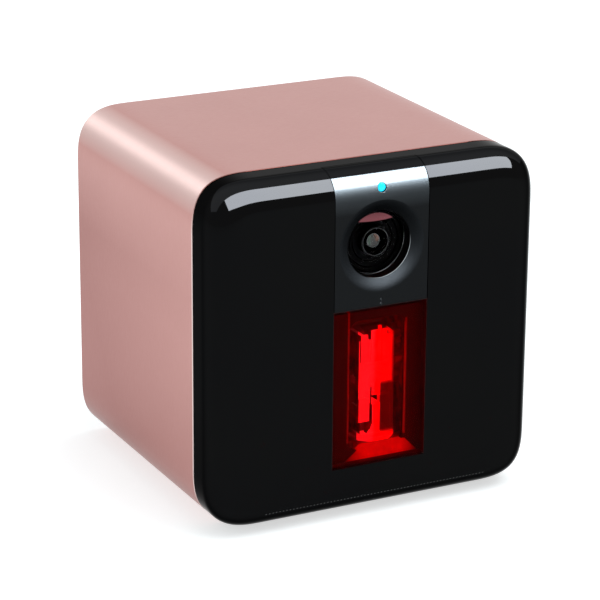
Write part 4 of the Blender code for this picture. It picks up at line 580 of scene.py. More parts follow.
# a row of pin holes for the speaker's sound along the nose's lower rounding
def makeSoundHoles():
    facts = {"angle": 24, "first": -26 * mm, "pitch": 0.8 * mm, "count": 66, "radius": 0.16 * mm}
    tilt = math.radians(facts["angle"])
    outwards = Vector((0, -math.cos(tilt), -math.sin(tilt)))
    centre = Vector((0, faceY + noseRound, caseFoot + noseRound))
    radius = facts["radius"]
    section = [(0, 0), (radius * 0.6, 0.005 * mm), (radius, 0.012 * mm), (radius, -0.1 * mm), (0, -0.1 * mm)]
    bm = bmesh.new()
    for i in range(facts["count"]):
        place = centre + outwards * noseRound + right * (facts["first"] + i * facts["pitch"])
        turned(bm, section, place, outwards, 10)
    piece(bm, "soundHoles", [holeRim], sharp=40)


nose = makeNose()
makeSoundHoles()
print("nose ready")


# Panel: satin strip with the dish round the lens, the status light's hole and the microphone's holes

# Satin paint with fine flakes under a thin clear coat, which gives the crisp band of light
satinGrey = surface("satinGreyPanelPaint", "#090A0B", "#0E0F10", 0.4, cloud=0.25 * mm, grain=0.12 * mm,
                    spread=0.08, height=0.003 * mm, bump=0.5, Metallic=1.0, Specular_Tint=colour("#999999"),
                    Coat_Weight=0.08, Coat_Roughness=0.02)
# The same paint without the coat, soft grey where it dips towards the lens
dishGrey = surface("satinGreyDishPaint", "#090A0B", "#0D0E0F", 0.54, cloud=0.25 * mm, grain=0.12 * mm,
                   spread=0.08, height=0.003 * mm, bump=0.5, Metallic=1.0, Specular_Tint=colour("#999999"))
# Fine steel mesh behind the microphone holes, two light dots
micMesh = surface("microphoneMesh", "#8E9498", "#6C7276", 0.5, cloud=0.08 * mm, grain=0.03 * mm, spread=0.1,
                  height=0.01 * mm, bump=0.6)
# painted highlight: the paint is painted lighter towards the top, where it leans back into the light
paintedTopLightShares = workOut(satinGrey.node_tree, [("paintedTopLight", "fade", "z", 67 * mm, 72 * mm, 0.0, 1.0)])
toneWhere(satinGrey, paintedTopLightShares["paintedTopLight"], "#25282A")
lensZ, ledZ, micZ = (measured(node)[2].z for node in ("lens_ring", "light_pipe", "microphone"))


def makePanel():
    facts = {"halfWidth": 10.85 * mm, "roundAt": (-29.25 * mm, 70 * mm), "roundSteps": 14, "rear": -28.9 * mm,
             "thick": 1 * mm, "hole": 7.4 * mm, "dish": 10.0 * mm, "dishDepth": 1.3 * mm, "dishSteps": 12,
             "flat": 10.2 * mm, "glossAbove": 74.66 * mm, "split": 1.3 * mm, "ledHole": 1 * mm,
             "micHole": 0.25 * mm, "micZ": (micZ - 0.9 * mm, micZ), "meshDepth": 0.3 * mm, "edge": 0.12 * mm}
    bm = bmesh.new()
    lensPlace = Vector((0, faceY, lensZ))
    upright = Matrix.Translation(lensPlace) @ Matrix.Rotation(math.pi / 2, 4, "X")
    made = bmesh.ops.create_circle(bm, radius=facts["hole"], segments=96, matrix=upright)
    bmesh.ops.translate(bm, verts=made["verts"], vec=(0, facts["dishDepth"], 0))
    loop = list({e for v in made["verts"] for e in v.link_edges})
    previous, previousDepth = facts["hole"], facts["dishDepth"]
    rings = []
    for i in range(1, facts["dishSteps"] + 1):
        share = i / facts["dishSteps"]
        radius = facts["hole"] + (facts["dish"] - facts["hole"]) * share
        rings.append((radius, facts["dishDepth"] * (1 - math.sin(share * math.pi / 2))))
    rings.append((facts["flat"], 0))
    for radius, depth in rings:
        grown = bmesh.ops.extrude_edge_only(bm, edges=loop)["geom"]
        verts = [g for g in grown if isinstance(g, bmesh.types.BMVert)]
        loop = [g for g in grown if isinstance(g, bmesh.types.BMEdge)]
        size = radius / previous
        bmesh.ops.scale(bm, verts=verts, vec=(size, 1, size), space=Matrix.Translation(-lensPlace))
        bmesh.ops.translate(bm, verts=verts, vec=(0, depth - previousDepth, 0))
        previous, previousDepth = radius, depth
    y, z = facts["roundAt"]
    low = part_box("camera_panel")[0].z
    corners = [(x * facts["halfWidth"], faceY, height) for x, height in ((-1, low), (1, low), (1, z), (-1, z))]
    points = [bm.verts.new(c) for c in corners]
    sides = [bm.edges.new((points[i], points[(i + 1) % 4])) for i in range(4)]
    bmesh.ops.triangle_fill(bm, use_beauty=True, use_dissolve=False, edges=loop + sides)
    top = sides[2]
    turn = {"cent": (0, y, z), "axis": (1, 0, 0), "angle": -math.pi / 2, "steps": facts["roundSteps"]}
    last = bmesh.ops.spin(bm, geom=[top, *top.verts], **turn)["geom_last"]
    ends = [g for g in last if isinstance(g, bmesh.types.BMEdge)]
    grown = bmesh.ops.extrude_edge_only(bm, edges=ends)["geom"]
    verts = [g for g in grown if isinstance(g, bmesh.types.BMVert)]
    bmesh.ops.translate(bm, verts=verts, vec=(0, facts["rear"] - y, 0))
    for x in (-facts["split"], facts["split"]):
        cutAcross(bm, (x, 0, 0), right)
    for item in bm.faces:
        spot = item.calc_center_median()
        inDish = math.hypot(spot.x, spot.z - lensZ) < facts["dish"] and spot.y > faceY + 0.01 * mm
        if inDish and spot.z < z:
            item.material_index = 1
        elif spot.z > facts["glossAbove"]:
            item.material_index = 2
    start = faceY - 1 * mm
    cutters = [cutter(rod, facts["ledHole"], (0, start, ledZ), rear, 9 * mm)]
    cutters += [cutter(rod, facts["micHole"], (0, start, height), rear, 3 * mm, 16) for height in facts["micZ"]]
    made = piece(bm, "panel", [satinGrey, dishGrey, glossBlack], ["camera_panel"],
                 edge=facts["edge"], thick=facts["thick"], cutters=cutters, sharp=28)
    bm = bmesh.new()
    section = [(0, 0.12 * mm), (0.16 * mm, 0.06 * mm), (0.24 * mm, 0), (0.24 * mm, -0.1 * mm), (0, -0.1 * mm)]
    for height in facts["micZ"]:
        turned(bm, section, (0, faceY + facts["meshDepth"], height), front, 20)
    piece(bm, "microphoneMesh", [micMesh], sharp=50)
    return made


panel = makePanel()
print("panel ready")


# Lens: cover dome, stepped ring, barrel head and glass

# Matt black metal that only shows its steps at their edges
lensBlack = surface("lensBlackAnodised", "#060607", "#0A0A0B", 0.38, cloud=3 * mm, grain=0.08 * mm, spread=0.06,
                    height=0.002 * mm, bump=0.4, Metallic=1.0, Specular_Tint=colour("#888888"))
# Turned edge of the ring, a thin bright line
ringEdge = surface("lensRingBrightEdge", "#A8ACAF", "#94989B", 0.22, cloud=2 * mm, grain=0.05 * mm, spread=0.04,
                   height=0.001 * mm, bump=0.3, Metallic=1.0)
# Thin inner edges, grey lines round the glass
innerEdge = surface("lensInnerEdge", "#4E5052", "#404244", 0.3, cloud=2 * mm, grain=0.05 * mm, spread=0.04,
                    height=0.001 * mm, bump=0.3, Metallic=1.0)
# Glass with a coating that takes its mirror image away, so that it is clear and dark
coverGlass = surface("coatedCoverGlass", "#FFFFFF", "#FBFBFD", 0.01, cloud=12 * mm, grain=2 * mm, spread=0.004,
                     height=0.0001 * mm, bump=0.0, Transmission_Weight=1.0, IOR=1.085,
                     Specular_Tint=colour("#000000"))
lensGlass = surface("coatedLensGlass", "#D8D2F4", "#C8DCD4", 0.02, cloud=1.6 * mm, grain=1 * mm, spread=0.006,
                    height=0.0001 * mm, bump=0.0, Transmission_Weight=1.0, IOR=1.06,
                    Specular_Tint=colour("#000000"))


# Painted reflection: a rosy patch of light is painted as glow on the dome's top, with a straight lower edge.
def addPaintedDomeReflection():
    facts = {"edge": lensZ + 4.7 * mm, "reach": 6.15 * mm, "soft": 0.07 * mm, "curve": 12 * mm, "tone": "#7A464C"}
    edge, reach, soft, curve = (facts[key] for key in ("edge", "reach", "soft", "curve"))
    tree, shader = shaderOf(coverGlass)
    place = addNode(tree, "TexCoord").outputs["Object"]
    flat = addNode(tree, "VectorMath", (place, (1, 0, 1)), operation="MULTIPLY").outputs[0]
    steps = [
        ("above", "fade", "z", edge - soft, edge + soft, 0.0, 1.0),
        ("away", "distance", flat, (0, 0, lensZ)),
        ("near", "fade", "away", reach - soft, reach + soft, 1.0, 0.0),
        ("deep", "distance", "place", (0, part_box("cover_glass")[0].y + curve, lensZ)),
        ("outer", "fade", "deep", curve - 0.5 * mm, curve - 0.3 * mm, 0.0, 1.0),
        ("upwards", "fade", "z", edge, lensZ + reach, 1.1, 0.75),
        ("total", "MULTIPLY", "above", "near"),
        ("total", "MULTIPLY", "total", "outer"),
        ("total", "MULTIPLY", "total", "upwards"),
    ]
    tree.links.new(workOut(tree, steps)["total"], shader.inputs["Emission Strength"])
    shader.inputs["Emission Color"].default_value = colour(facts["tone"])


addPaintedDomeReflection()


# Painted reflections on the inner glass, which also glows faintly: a green glint to the left, an orange one to the
# upper right, black between
def makeInnerGlassGlints():
    facts = {"dark": "#060706", "green": "#1E3024", "orange": "#563422", "glow": 0.3, "rough": 0.12}
    material, tree, shader = newMaterial("innerGlassPaintedGlints")
    steps = [
        ("wave", "fade", scaledNoise(tree, 0.7 * mm), *noiseSpan, -0.4 * mm, 0.4 * mm),
        ("wavy", "ADD", "wave", "x"),
        ("green", "fade", "wavy", -1.1 * mm, 0.1 * mm, 1.0, 0.0),
        ("orange", "fade", "wavy", 0.0, 0.9 * mm, 0.0, 1.0),
        ("upper", "fade", "z", lensZ - 0.5 * mm, lensZ + 0.5 * mm, 0.0, 1.0),
        ("orange", "MULTIPLY", "orange", "upper"),
    ]
    shares = workOut(tree, steps)
    tone = colour(facts["dark"])
    for name in ("green", "orange"):
        tone = addNode(tree, "Mix", {0: shares[name], 6: tone, 7: colour(facts[name])}, data_type="RGBA").outputs[2]
    tree.links.new(tone, shader.inputs["Base Color"])
    tree.links.new(tone, shader.inputs["Emission Color"])
    shader.inputs["Emission Strength"].default_value = facts["glow"]
    shader.inputs["Roughness"].default_value = facts["rough"]
    return material


innerGlassGlints = makeInnerGlassGlints()
# Painted shade: the ring's edge is painted dark all round except at its lower right, where it catches the light.
ringPaintedShade = workOut(ringEdge.node_tree, [
    ("sideways", "MULTIPLY", "x", 0.62),
    ("below", "SUBTRACT", lensZ, "z"),
    ("below", "MULTIPLY", "below", 0.78),
    ("total", "ADD", "sideways", "below"),
    ("dark", "fade", "total", 3.5 * mm, 6.6 * mm, 1.0, 0.0),
])
toneWhere(ringEdge, ringPaintedShade["dark"], "#0C0C0D")


def makeLensRing():
    facts = {"hood": (3.3 * mm, 2.9 * mm, 1.75 * mm), "hoodEdge": (2.96 * mm, 2.88 * mm, 0.05 * mm),
             "dishRim": (7.39 * mm, 7.27 * mm, 0.12 * mm), "dishRimY": -33.85 * mm}
    low, high, centre, radius = measured("lens_ring")
    place = Vector((0, low.y, lensZ))
    depth = high.y - low.y
    section = [(radius - 0.15 * mm, 0), (radius, -0.15 * mm), (radius, -depth), (3.1 * mm, -depth),
               (3.1 * mm, -0.75 * mm), (3.3 * mm, -0.6 * mm), (4.5 * mm, -0.6 * mm), (4.65 * mm, -0.45 * mm),
               (5.7 * mm, -0.45 * mm), (5.85 * mm, -0.2 * mm), (6.6 * mm, -0.2 * mm), (6.75 * mm, 0)]
    bm = bmesh.new()
    turned(bm, section, place, front, 96, closed=True)
    paint(bm, 0)
    tube(bm, radius - 0.1 * mm, radius - 0.32 * mm, place + rear * 0.1 * mm, front, 0.2 * mm, 96)
    paint(bm, 1)
    # short hood round the glass, with a thin edge that catches the light
    outer, inner, length = facts["hood"]
    tube(bm, outer, inner, place + rear * 0.7 * mm, front, length, 80)
    paint(bm, 0)
    outer, inner, length = facts["hoodEdge"]
    tube(bm, outer, inner, place + front * 1.03 * mm, front, length, 80)
    paint(bm, 2)
    piece(bm, "lensRing", [lensBlack, ringEdge, innerEdge], ["lens_ring"])

    bm = bmesh.new()
    outer, inner, length = facts["dishRim"]
    tube(bm, outer, inner, (0, facts["dishRimY"], lensZ), front, length, 96)
    piece(bm, "dishRim", [ringEdge])


domeShares = [i / 16 for i in range(17)]


def makeCoverDome():
    facts = {"lip": 0.1 * mm, "wall": 0.8 * mm}
    low, high, centre, rim = measured("cover_glass")
    rise, lip = high.y - low.y, facts["lip"]
    curve = (rim ** 2 + (rise - lip) ** 2) / (2 * (rise - lip))
    inner = curve - facts["wall"]
    outside = [(rim * t, rise - curve + math.sqrt(curve ** 2 - (rim * t) ** 2)) for t in domeShares]
    reach = math.sqrt(inner ** 2 - (curve - rise) ** 2) - 0.02 * mm
    inside = [(reach * t, rise - curve + math.sqrt(inner ** 2 - (reach * t) ** 2)) for t in reversed(domeShares)]
    bm = bmesh.new()
    turned(bm, outside + [(rim, 0)] + inside, (0, high.y, lensZ), front, 96)
    piece(bm, "coverDome", [coverGlass], ["cover_glass"], sharp=50)


def makeBarrel():
    facts = {"deepRing": 1.45 * mm, "stack": 1.52 * mm, "stackGlass": 1.36 * mm}
    low, high, centre, head = measured("lens_barrel")
    start = Vector((0, low.y, lensZ))
    mouth = [(head, -0.15 * mm), (head - 0.15 * mm, 0), (4.3 * mm, 0), (4.15 * mm, -0.25 * mm),
             (3.5 * mm, -0.25 * mm), (3.4 * mm, 0.05 * mm), (3.05 * mm, 0.05 * mm), (2.95 * mm, -0.1 * mm),
             (2.95 * mm, -3.2 * mm), (1.7 * mm, -3.2 * mm), (1.5 * mm, -3.5 * mm), (1.5 * mm, -12 * mm),
             (4.4 * mm, -12 * mm), (4.4 * mm, -3.6 * mm), (head, -3.6 * mm)]
    bm = bmesh.new()
    turned(bm, mouth, start, front, 80, closed=True)
    paint(bm, 0)
    tube(bm, 3.36 * mm, 3.12 * mm, start + front * 0.02 * mm, front, 0.06 * mm, 80)
    paint(bm, 1)
    # the small coated glass deep in the barrel, with its ring
    stack = start + front * facts["deepRing"]
    rod(bm, facts["stack"], stack + rear * 0.12 * mm, rear, 1.3 * mm, 48)
    paint(bm, 0)
    tube(bm, 1.5 * mm, 1.38 * mm, stack, front, 0.06 * mm, 64)
    paint(bm, 1)
    radius = facts["stackGlass"]
    turned(bm, [(0, 0.02 * mm), (radius, 0.02 * mm), (radius, -0.1 * mm), (0, -0.1 * mm)], stack, front, 48)
    paint(bm, 2)
    piece(bm, "lensBarrel", [lensBlack, innerEdge, innerGlassGlints], ["lens_barrel"], sharp=25)


def makeFrontLens():
    facts = {"bulge": 0.9 * mm, "wall": 0.4 * mm, "inset": 0.25 * mm}
    low, high, centre, edge = measured("front_lens")
    bulge, inset = facts["bulge"], facts["inset"]
    body = high.y - low.y - bulge
    outside = [(edge * t, body + bulge * (1 - t * t)) for t in domeShares]
    inside = [((edge - inset) * t, body - facts["wall"] + bulge * (1 - t * t)) for t in reversed(domeShares)]
    bm = bmesh.new()
    turned(bm, outside + [(edge, 0)] + inside, (0, high.y, lensZ), front, 64)
    piece(bm, "frontLens", [lensGlass], ["front_lens"], sharp=50)


makeLensRing()
makeCoverDome()
makeBarrel()
makeFrontLens()


# Status light: milky cyan pipe that glows by itself

def makeStatusLight():
    facts = {"base": ("#00C4F0", "#18D8FF"), "glow": ("#00C8F0", "#10D4F8"), "power": 1.0, "rough": 0.25,
             "flange": 1.7 * mm, "flangeThick": 1.0 * mm}
    material, tree, shader = newMaterial("cyanLightPipe")
    cloudy = scaledNoise(tree, 0.4 * mm)
    for socket, (first, second) in (("Base Color", facts["base"]), ("Emission Color", facts["glow"])):
        mixed = addNode(tree, "Mix", {0: cloudy, 6: colour(first), 7: colour(second)}, data_type="RGBA").outputs[2]
        tree.links.new(mixed, shader.inputs[socket])
    shader.inputs["Emission Strength"].default_value = facts["power"]
    shader.inputs["Roughness"].default_value = facts["rough"]
    low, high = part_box("light_pipe")
    length, wide, step = high.y - low.y, facts["flange"], facts["flangeThick"]
    section = [(0, 0.55 * mm), (0.35 * mm, 0.52 * mm), (0.7 * mm, 0.4 * mm), (0.9 * mm, 0.18 * mm),
               (0.96 * mm, -0.2 * mm), (0.96 * mm, -length + step), (wide, -length + step), (wide, -length),
               (0, -length)]
    bm = bmesh.new()
    turned(bm, section, (0, low.y, ledZ), front, 40)
    piece(bm, "statusLight", [material], ["light_pipe"], sharp=40)


makeStatusLight()
print("lens and status light ready")


# Window: clear red acrylic, and the chamber behind it, its red light painted as glow

# Clear cast acrylic, dyed red: what stands behind it shows deep red
redAcrylic = surface("clearRedAcrylic", "#FF1C26", "#FF1820", 0.01, cloud=10 * mm, grain=2 * mm, spread=0.004,
                     height=0.0004 * mm, bump=0.05, Transmission_Weight=1.0, IOR=1.06)
# Moulded black plastic, a very dark red frame through the window
bezelBlack = surface("bezelPlastic", "#2A0405", "#260304", 0.5, cloud=5 * mm, grain=0.15 * mm, spread=0.06,
                     height=0.004 * mm, bump=0.4, Specular_IOR_Level=0.1)
# Painted red glow on the edges of the mouth and on its sill, brightest in the middle, and faintly on the window's
# liner
edgeLit = litSurface("litMouthEdge", "#2A0406", "#FF0408", 0.11, 0.19, streak=0.1, redness=0.02)
sillLit = litSurface("litSill", "#2A060A", "#FF0208", 0.45, 0.66, streak=0.06, redness=0.03)
rimLit = litSurface("windowLiner", "#200405", "#FF0408", 0.004, 0.01, streak=0.05, redness=0.01)
sillGlowShares = workOut(sillLit.node_tree, [
    ("inner", "within", "x", -2.5 * mm, 6.0 * mm, 4.5 * mm),
    ("inner", "fade", "inner", 0.0, 1.0, 0.12, 1.0),
])
shineWhere(sillLit, sillGlowShares["inner"])


def makeWindow():
    low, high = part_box("laser_window")
    bm = bmesh.new()
    block(bm, low - Vector((0, 0, 0.12 * mm)), high)
    piece(bm, "window", [redAcrylic], ["laser_window"], edge=0.12 * mm)


def makeBezel():
    facts = {"left": -6.2 * mm, "right": 7.1 * mm, "bottom": 14.4 * mm, "top": 43.2 * mm, "corner": 2.4 * mm,
             "bar": 0.34 * mm, "barTop": (45.4 * mm, 42.4 * mm), "barLow": 16.4 * mm, "sillLow": 12.2 * mm,
             "sillHigh": 15.3 * mm, "sillLowX": (-6.8 * mm, 10.3 * mm), "sillHighX": (-2.9 * mm, 7.5 * mm),
             "linerX": (10.87 * mm, 10.98 * mm)}
    low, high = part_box("chamber_bezel")
    near, far = low.y - 1 * mm, high.y + 1 * mm
    bm = bmesh.new()
    block(bm, low, high)
    mouth = cutter(roundBlock, (facts["left"], near, facts["bottom"]), (facts["right"], far, facts["top"]),
                   facts["corner"], 8)
    (lowLeft, lowRight), (highLeft, highRight) = facts["sillLowX"], facts["sillHighX"]
    sill = [(lowLeft, facts["sillLow"]), (lowRight, facts["sillLow"]), (highRight, facts["sillHigh"]),
            (highLeft, facts["sillHigh"])]
    way = cutter(lofted, [(x, near, z) for x, z in sill], [(x, far, z) for x, z in sill])
    piece(bm, "bezel", [bezelBlack], ["chamber_bezel"], edge=0.1 * mm, cutters=[mouth, way])

    # the sill with its painted glow slopes back and up, and thin edges with painted glow stand on both sides of the
    # mouth
    bm = bmesh.new()
    depth = high.y - low.y - 0.15 * mm
    slope = [(x, low.y + 0.06 * mm + depth * (z > facts["sillLow"]), z) for x, z in sill]
    lofted(bm, slope, [(x, high.y, z) for x, z in sill])
    paint(bm, 0)
    for x, inward, top in zip((facts["left"], facts["right"]), (-1, 1), facts["barTop"]):
        x0, x1 = sorted((x - inward * 0.08 * mm, x + inward * facts["bar"]))
        block(bm, (x0, low.y - 0.05 * mm, facts["barLow"]), (x1, low.y + 0.4 * mm, top))
    paint(bm, 1)
    piece(bm, "mouthLight", [sillLit, edgeLit], edge=0.08 * mm)

    # liner round the window's edge, with a faint painted red glow, so that its rim looks dark red from the side
    bm = bmesh.new()
    windowLow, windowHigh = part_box("laser_window")
    leftX, rightX, bottom, top = windowLow.x, windowHigh.x, windowLow.z, windowHigh.z
    near, far = windowLow.y + 0.05 * mm, low.y - 0.01 * mm
    for side in (-1, 1):
        x0, x1 = sorted(side * x for x in facts["linerX"])
        block(bm, (x0, near, bottom - 0.1 * mm), (x1, far, top + 0.1 * mm))
    block(bm, (leftX, near, top + 0.01 * mm), (rightX, far, top + 0.12 * mm))
    block(bm, (leftX, low.y - 1.1 * mm, bottom - 0.13 * mm), (rightX, far, bottom + 0.25 * mm))
    piece(bm, "windowLiner", [rimLit])


makeWindow()
makeBezel()
print("window and bezel ready")


# Laser turret: white acetal, its red light and shade painted as glow

turretX, panY = measured("pan_yoke")[2].xy
farOff = 100 * mm
turretLight = {
    # seen from the photo's side, a place further back looks further left and lower
    "plane": [("back", "ADD", "y", 29 * mm), ("skew", "MULTIPLY", "back", -0.54), ("along", "ADD", "x", "skew"),
              ("drop", "MULTIPLY", "back", 0.43), ("height", "ADD", "z", "drop")],
    # places of painted shade: from, to and soft reach along the turret, and the same in height
    "shaded": [
        ((3.7 * mm, 30 * mm, 0.5 * mm), (16.6 * mm, 26.5 * mm, 1.6 * mm)),  # right half below the laser
        ((1.15 * mm, 1.45 * mm, 0.12 * mm), (18.5 * mm, 26.0 * mm, 1.2 * mm)),  # thin line beside the post
        ((-30 * mm, -2.1 * mm, 0.3 * mm), (-farOff, farOff, 1 * mm)),  # left end
        ((7.1 * mm, 30 * mm, 1.9 * mm), (20 * mm, 60 * mm, 2 * mm)),  # upper right end
        ((-30 * mm, 1.2 * mm, 0.4 * mm), (16.9 * mm, 18.6 * mm, 0.25 * mm)),  # gap above the foot's left
    ],
    "pale": (-30 * mm, 1.6 * mm, 0.8 * mm),
    "tones": ("#FF0810", "#FFC0CC", "#3A0A08"),
    "leastShine": 0.1,
}


# Painted light: the light falls from the front left, so the left part is painted to shine palest, and the shaded
# places are painted dark.
def turretLit(name, base, tint, strength):
    material = litSurface(name, base, tint, strength * 0.85, strength * 1.15)
    tree, shader = shaderOf(material)
    steps = list(turretLight["plane"])
    shade = 0.0
    for across, upwards in turretLight["shaded"]:
        steps += [("across", "within", "along", *across), ("upwards", "within", "height", *upwards),
                  ("here", "MULTIPLY", "across", "upwards"), ("shade", "MAXIMUM", shade, "here")]
        shade = "shade"
    steps += [("shine", "fade", "shade", 0.0, 1.0, 1.0, turretLight["leastShine"]),
              ("pale", "within", "along", *turretLight["pale"])]
    shares = workOut(tree, steps)
    red, paleRed, shadeTone = turretLight["tones"]
    shineWhere(material, shares["shine"])
    glow = addNode(tree, "Mix", {0: shares["pale"], 6: colour(red), 7: colour(paleRed)}, data_type="RGBA")
    tree.links.new(glow.outputs[2], shader.inputs["Emission Color"])
    toneWhere(material, shares["shade"], shadeTone)
    return material


litWhite = turretLit("litWhiteAcetal", "#E8D8D4", "#FF2028", 0.9)
litBody = turretLit("litLaserBody", "#D8C8C4", "#FF2028", 0.8)
dimWhite = litSurface("shadedAcetal", "#4A2A28", "#C01018", 0.006, 0.016)


# Faces that look to the front or up take the painted lit glow, the others the painted shade.
def lightFaces(bm, sides=False):
    facts = {"mouthZ": 27.1 * mm, "mouth": 1.7 * mm, "mouthDepth": 4.8 * mm, "topFrom": 0.3 * mm,
             "armInner": (2 * mm, 3.3 * mm)}
    bmesh.ops.recalc_face_normals(bm, faces=bm.faces)
    innerLow, innerHigh = (turretX + x for x in facts["armInner"])
    for face in bm.faces:
        spot, looks = face.calc_center_median(), face.normal
        fromAxis = math.hypot(spot.x - turretX, spot.z - facts["mouthZ"])
        inMouth = spot.y < panY - facts["mouthDepth"] and fromAxis < facts["mouth"]
        onTop = looks.z > 0.6 and (sides or spot.y < panY - facts["topFrom"])
        innerRight = looks.x < -0.6 and innerLow < spot.x < innerHigh
        lit = looks.y < -0.35 or inMouth or onTop or innerRight or (sides and looks.y < 0.2)
        face.material_index = 0 if lit else 1


def makeTurret():
    facts = {"table": 1.8 * mm, "armInner": 3.0 * mm, "armOuter": 4.0 * mm, "armFront": -28.2 * mm,
             "armHalf": 2.2 * mm, "top": 37.8 * mm, "shroud": (-1.2 * mm, 6.7 * mm), "shroudLow": 31.95 * mm,
             "shroudY": (-29.0 * mm, -28.5 * mm), "wall": (-1.4 * mm, 1.2 * mm), "wallY": (-28.7 * mm, -28.2 * mm),
             "wallZ": (18.5 * mm, 23.85 * mm), "post": (1.75 * mm, 3.9 * mm), "postY": (-28.9 * mm, -22.4 * mm),
             "postTop": 22.3 * mm, "flare": 1.3 * mm, "flareTop": 17.8 * mm}
    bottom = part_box("pan_yoke")[0].z
    table = bottom + facts["table"]
    bm = bmesh.new()
    section = [(0, 0), (4.9 * mm, 0), (5.2 * mm, 0.3 * mm), (5.2 * mm, 0.9 * mm), (4.7 * mm, 1.05 * mm),
               (4.5 * mm, 1.7 * mm), (4.3 * mm, 1.8 * mm), (0, 1.8 * mm)]
    turned(bm, section, (turretX, panY, bottom), up, 72)
    for side in (-1, 1):
        x0, x1 = sorted((turretX + side * facts["armInner"], turretX + side * facts["armOuter"]))
        block(bm, (x0, facts["armFront"], table - 0.3 * mm), (x1, panY + facts["armHalf"], facts["top"]))
    # shroud in front of the tilt motor, with a stepped and notched top: from, to, height and set-back in mm
    (x0, x1), (y0, y1) = facts["shroud"], facts["shroudY"]
    for first, last, top, back in ((0, 1.7, 38.2, 0), (1.7, 2.4, 37.0, 0.05), (2.4, 4.0, 39.0, 0),
                                   (4.0, 4.9, 39.9, 0.04), (4.9, 6.2, 39.0, 0), (6.2, 7.9, 37.6, 0.05)):
        low = (x0 + first * mm, y0 + back * mm, facts["shroudLow"])
        block(bm, low, (min(x0 + last * mm, x1), y1 + back * mm, top * mm))
    # lower left wall and the flared post in the middle, both clear of the laser's swing
    (x0, x1), (y0, y1), (z0, z1) = facts["wall"], facts["wallY"], facts["wallZ"]
    block(bm, (x0, y0, z0), (x1, y1, z1))
    block(bm, (x0 + 0.2 * mm, y1 - 0.1 * mm, z0 + 1 * mm), (turretX - facts["armInner"], panY, 21.9 * mm))
    block(bm, (x0, y0 + 0.2 * mm, z0), (x0 + 0.9 * mm, y1, facts["top"] - 1 * mm))
    (x0, x1), (y0, y1) = facts["post"], facts["postY"]
    block(bm, (x0, y0, table - 0.2 * mm), (x1, y1, facts["postTop"]))
    foot, neck = ([(x0 - out, y0, z), (x1 + out, y0, z), (x1 + out, y1, z), (x0 - out, y1, z)]
                  for out, z in ((facts["flare"], table), (0.1 * mm, facts["flareTop"])))
    lofted(bm, foot, neck)
    lightFaces(bm)
    piece(bm, "yoke", [litWhite, dimWhite], ["pan_yoke"], body="turret", edge=0.12 * mm)


def makeLaserHead():
    facts = {"cradleHalf": 2.95 * mm, "corner": 0.7 * mm, "trunnion": 1.0 * mm, "gap": 0.04 * mm,
             "lensBulge": 0.45 * mm}
    low, high, centre, width = measured("laser_module")
    radius, length = (high.z - low.z) / 2, high.y - low.y
    lensLow, lensHigh, lensCentre, mouth = measured("laser_lens")
    section = [(mouth + 0.05 * mm, 0), (radius - 0.2 * mm, 0), (radius, -0.2 * mm), (radius, -2.6 * mm),
               (radius - 0.15 * mm, -2.75 * mm), (radius - 0.15 * mm, -3.3 * mm), (radius, -3.45 * mm),
               (radius, -length + 0.3 * mm), (radius - 0.3 * mm, -length), (0, -length), (0, -2.2 * mm),
               (mouth + 0.05 * mm, -2.2 * mm)]
    bm = bmesh.new()
    turned(bm, section, (turretX, low.y, centre.z), front, 56)
    lightFaces(bm, sides=True)
    piece(bm, "laserModule", [litBody, dimWhite], ["laser_module"], body="laser_head", sharp=30)

    bm = bmesh.new()
    depth, bulge = lensHigh.y - lensLow.y, facts["lensBulge"]
    section = [(mouth * t, depth - bulge * t * t) for t in (i / 8 for i in range(9))] + [(mouth, 0), (0, 0)]
    turned(bm, section, (turretX, lensHigh.y, centre.z), front, 48)
    piece(bm, "laserLens", [litBody], ["laser_lens"], body="laser_head", sharp=50)

    low, high, middle, width = measured("laser_cradle")
    half = facts["cradleHalf"]
    bm = bmesh.new()
    roundBlock(bm, (turretX - half, low.y, low.z), (turretX + half, high.y, high.z), facts["corner"], 5)
    start = (low.x + 0.05 * mm, panY, middle.z)
    rod(bm, facts["trunnion"], start, right, high.x - low.x - 0.1 * mm, 32)
    lightFaces(bm, sides=True)
    bore = cutter(rod, radius + facts["gap"], (turretX, low.y - 1 * mm, centre.z), rear, 9 * mm, 56)
    piece(bm, "cradle", [litWhite, dimWhite], ["laser_cradle"], body="laser_head",
          edge=0.12 * mm, cutters=[bore])


makeTurret()
makeLaserHead()
print("turret ready")


# Speaker: paper cone with a ribbed rim and a dust cap, seen through the grille

# Pressed black paper, dull and fibrous
paperCone = surface("blackPaperCone", "#232425", "#191A1B", 0.8, cloud=3 * mm, grain=0.2 * mm, spread=0.08,
                    height=0.05 * mm, bump=0.6)


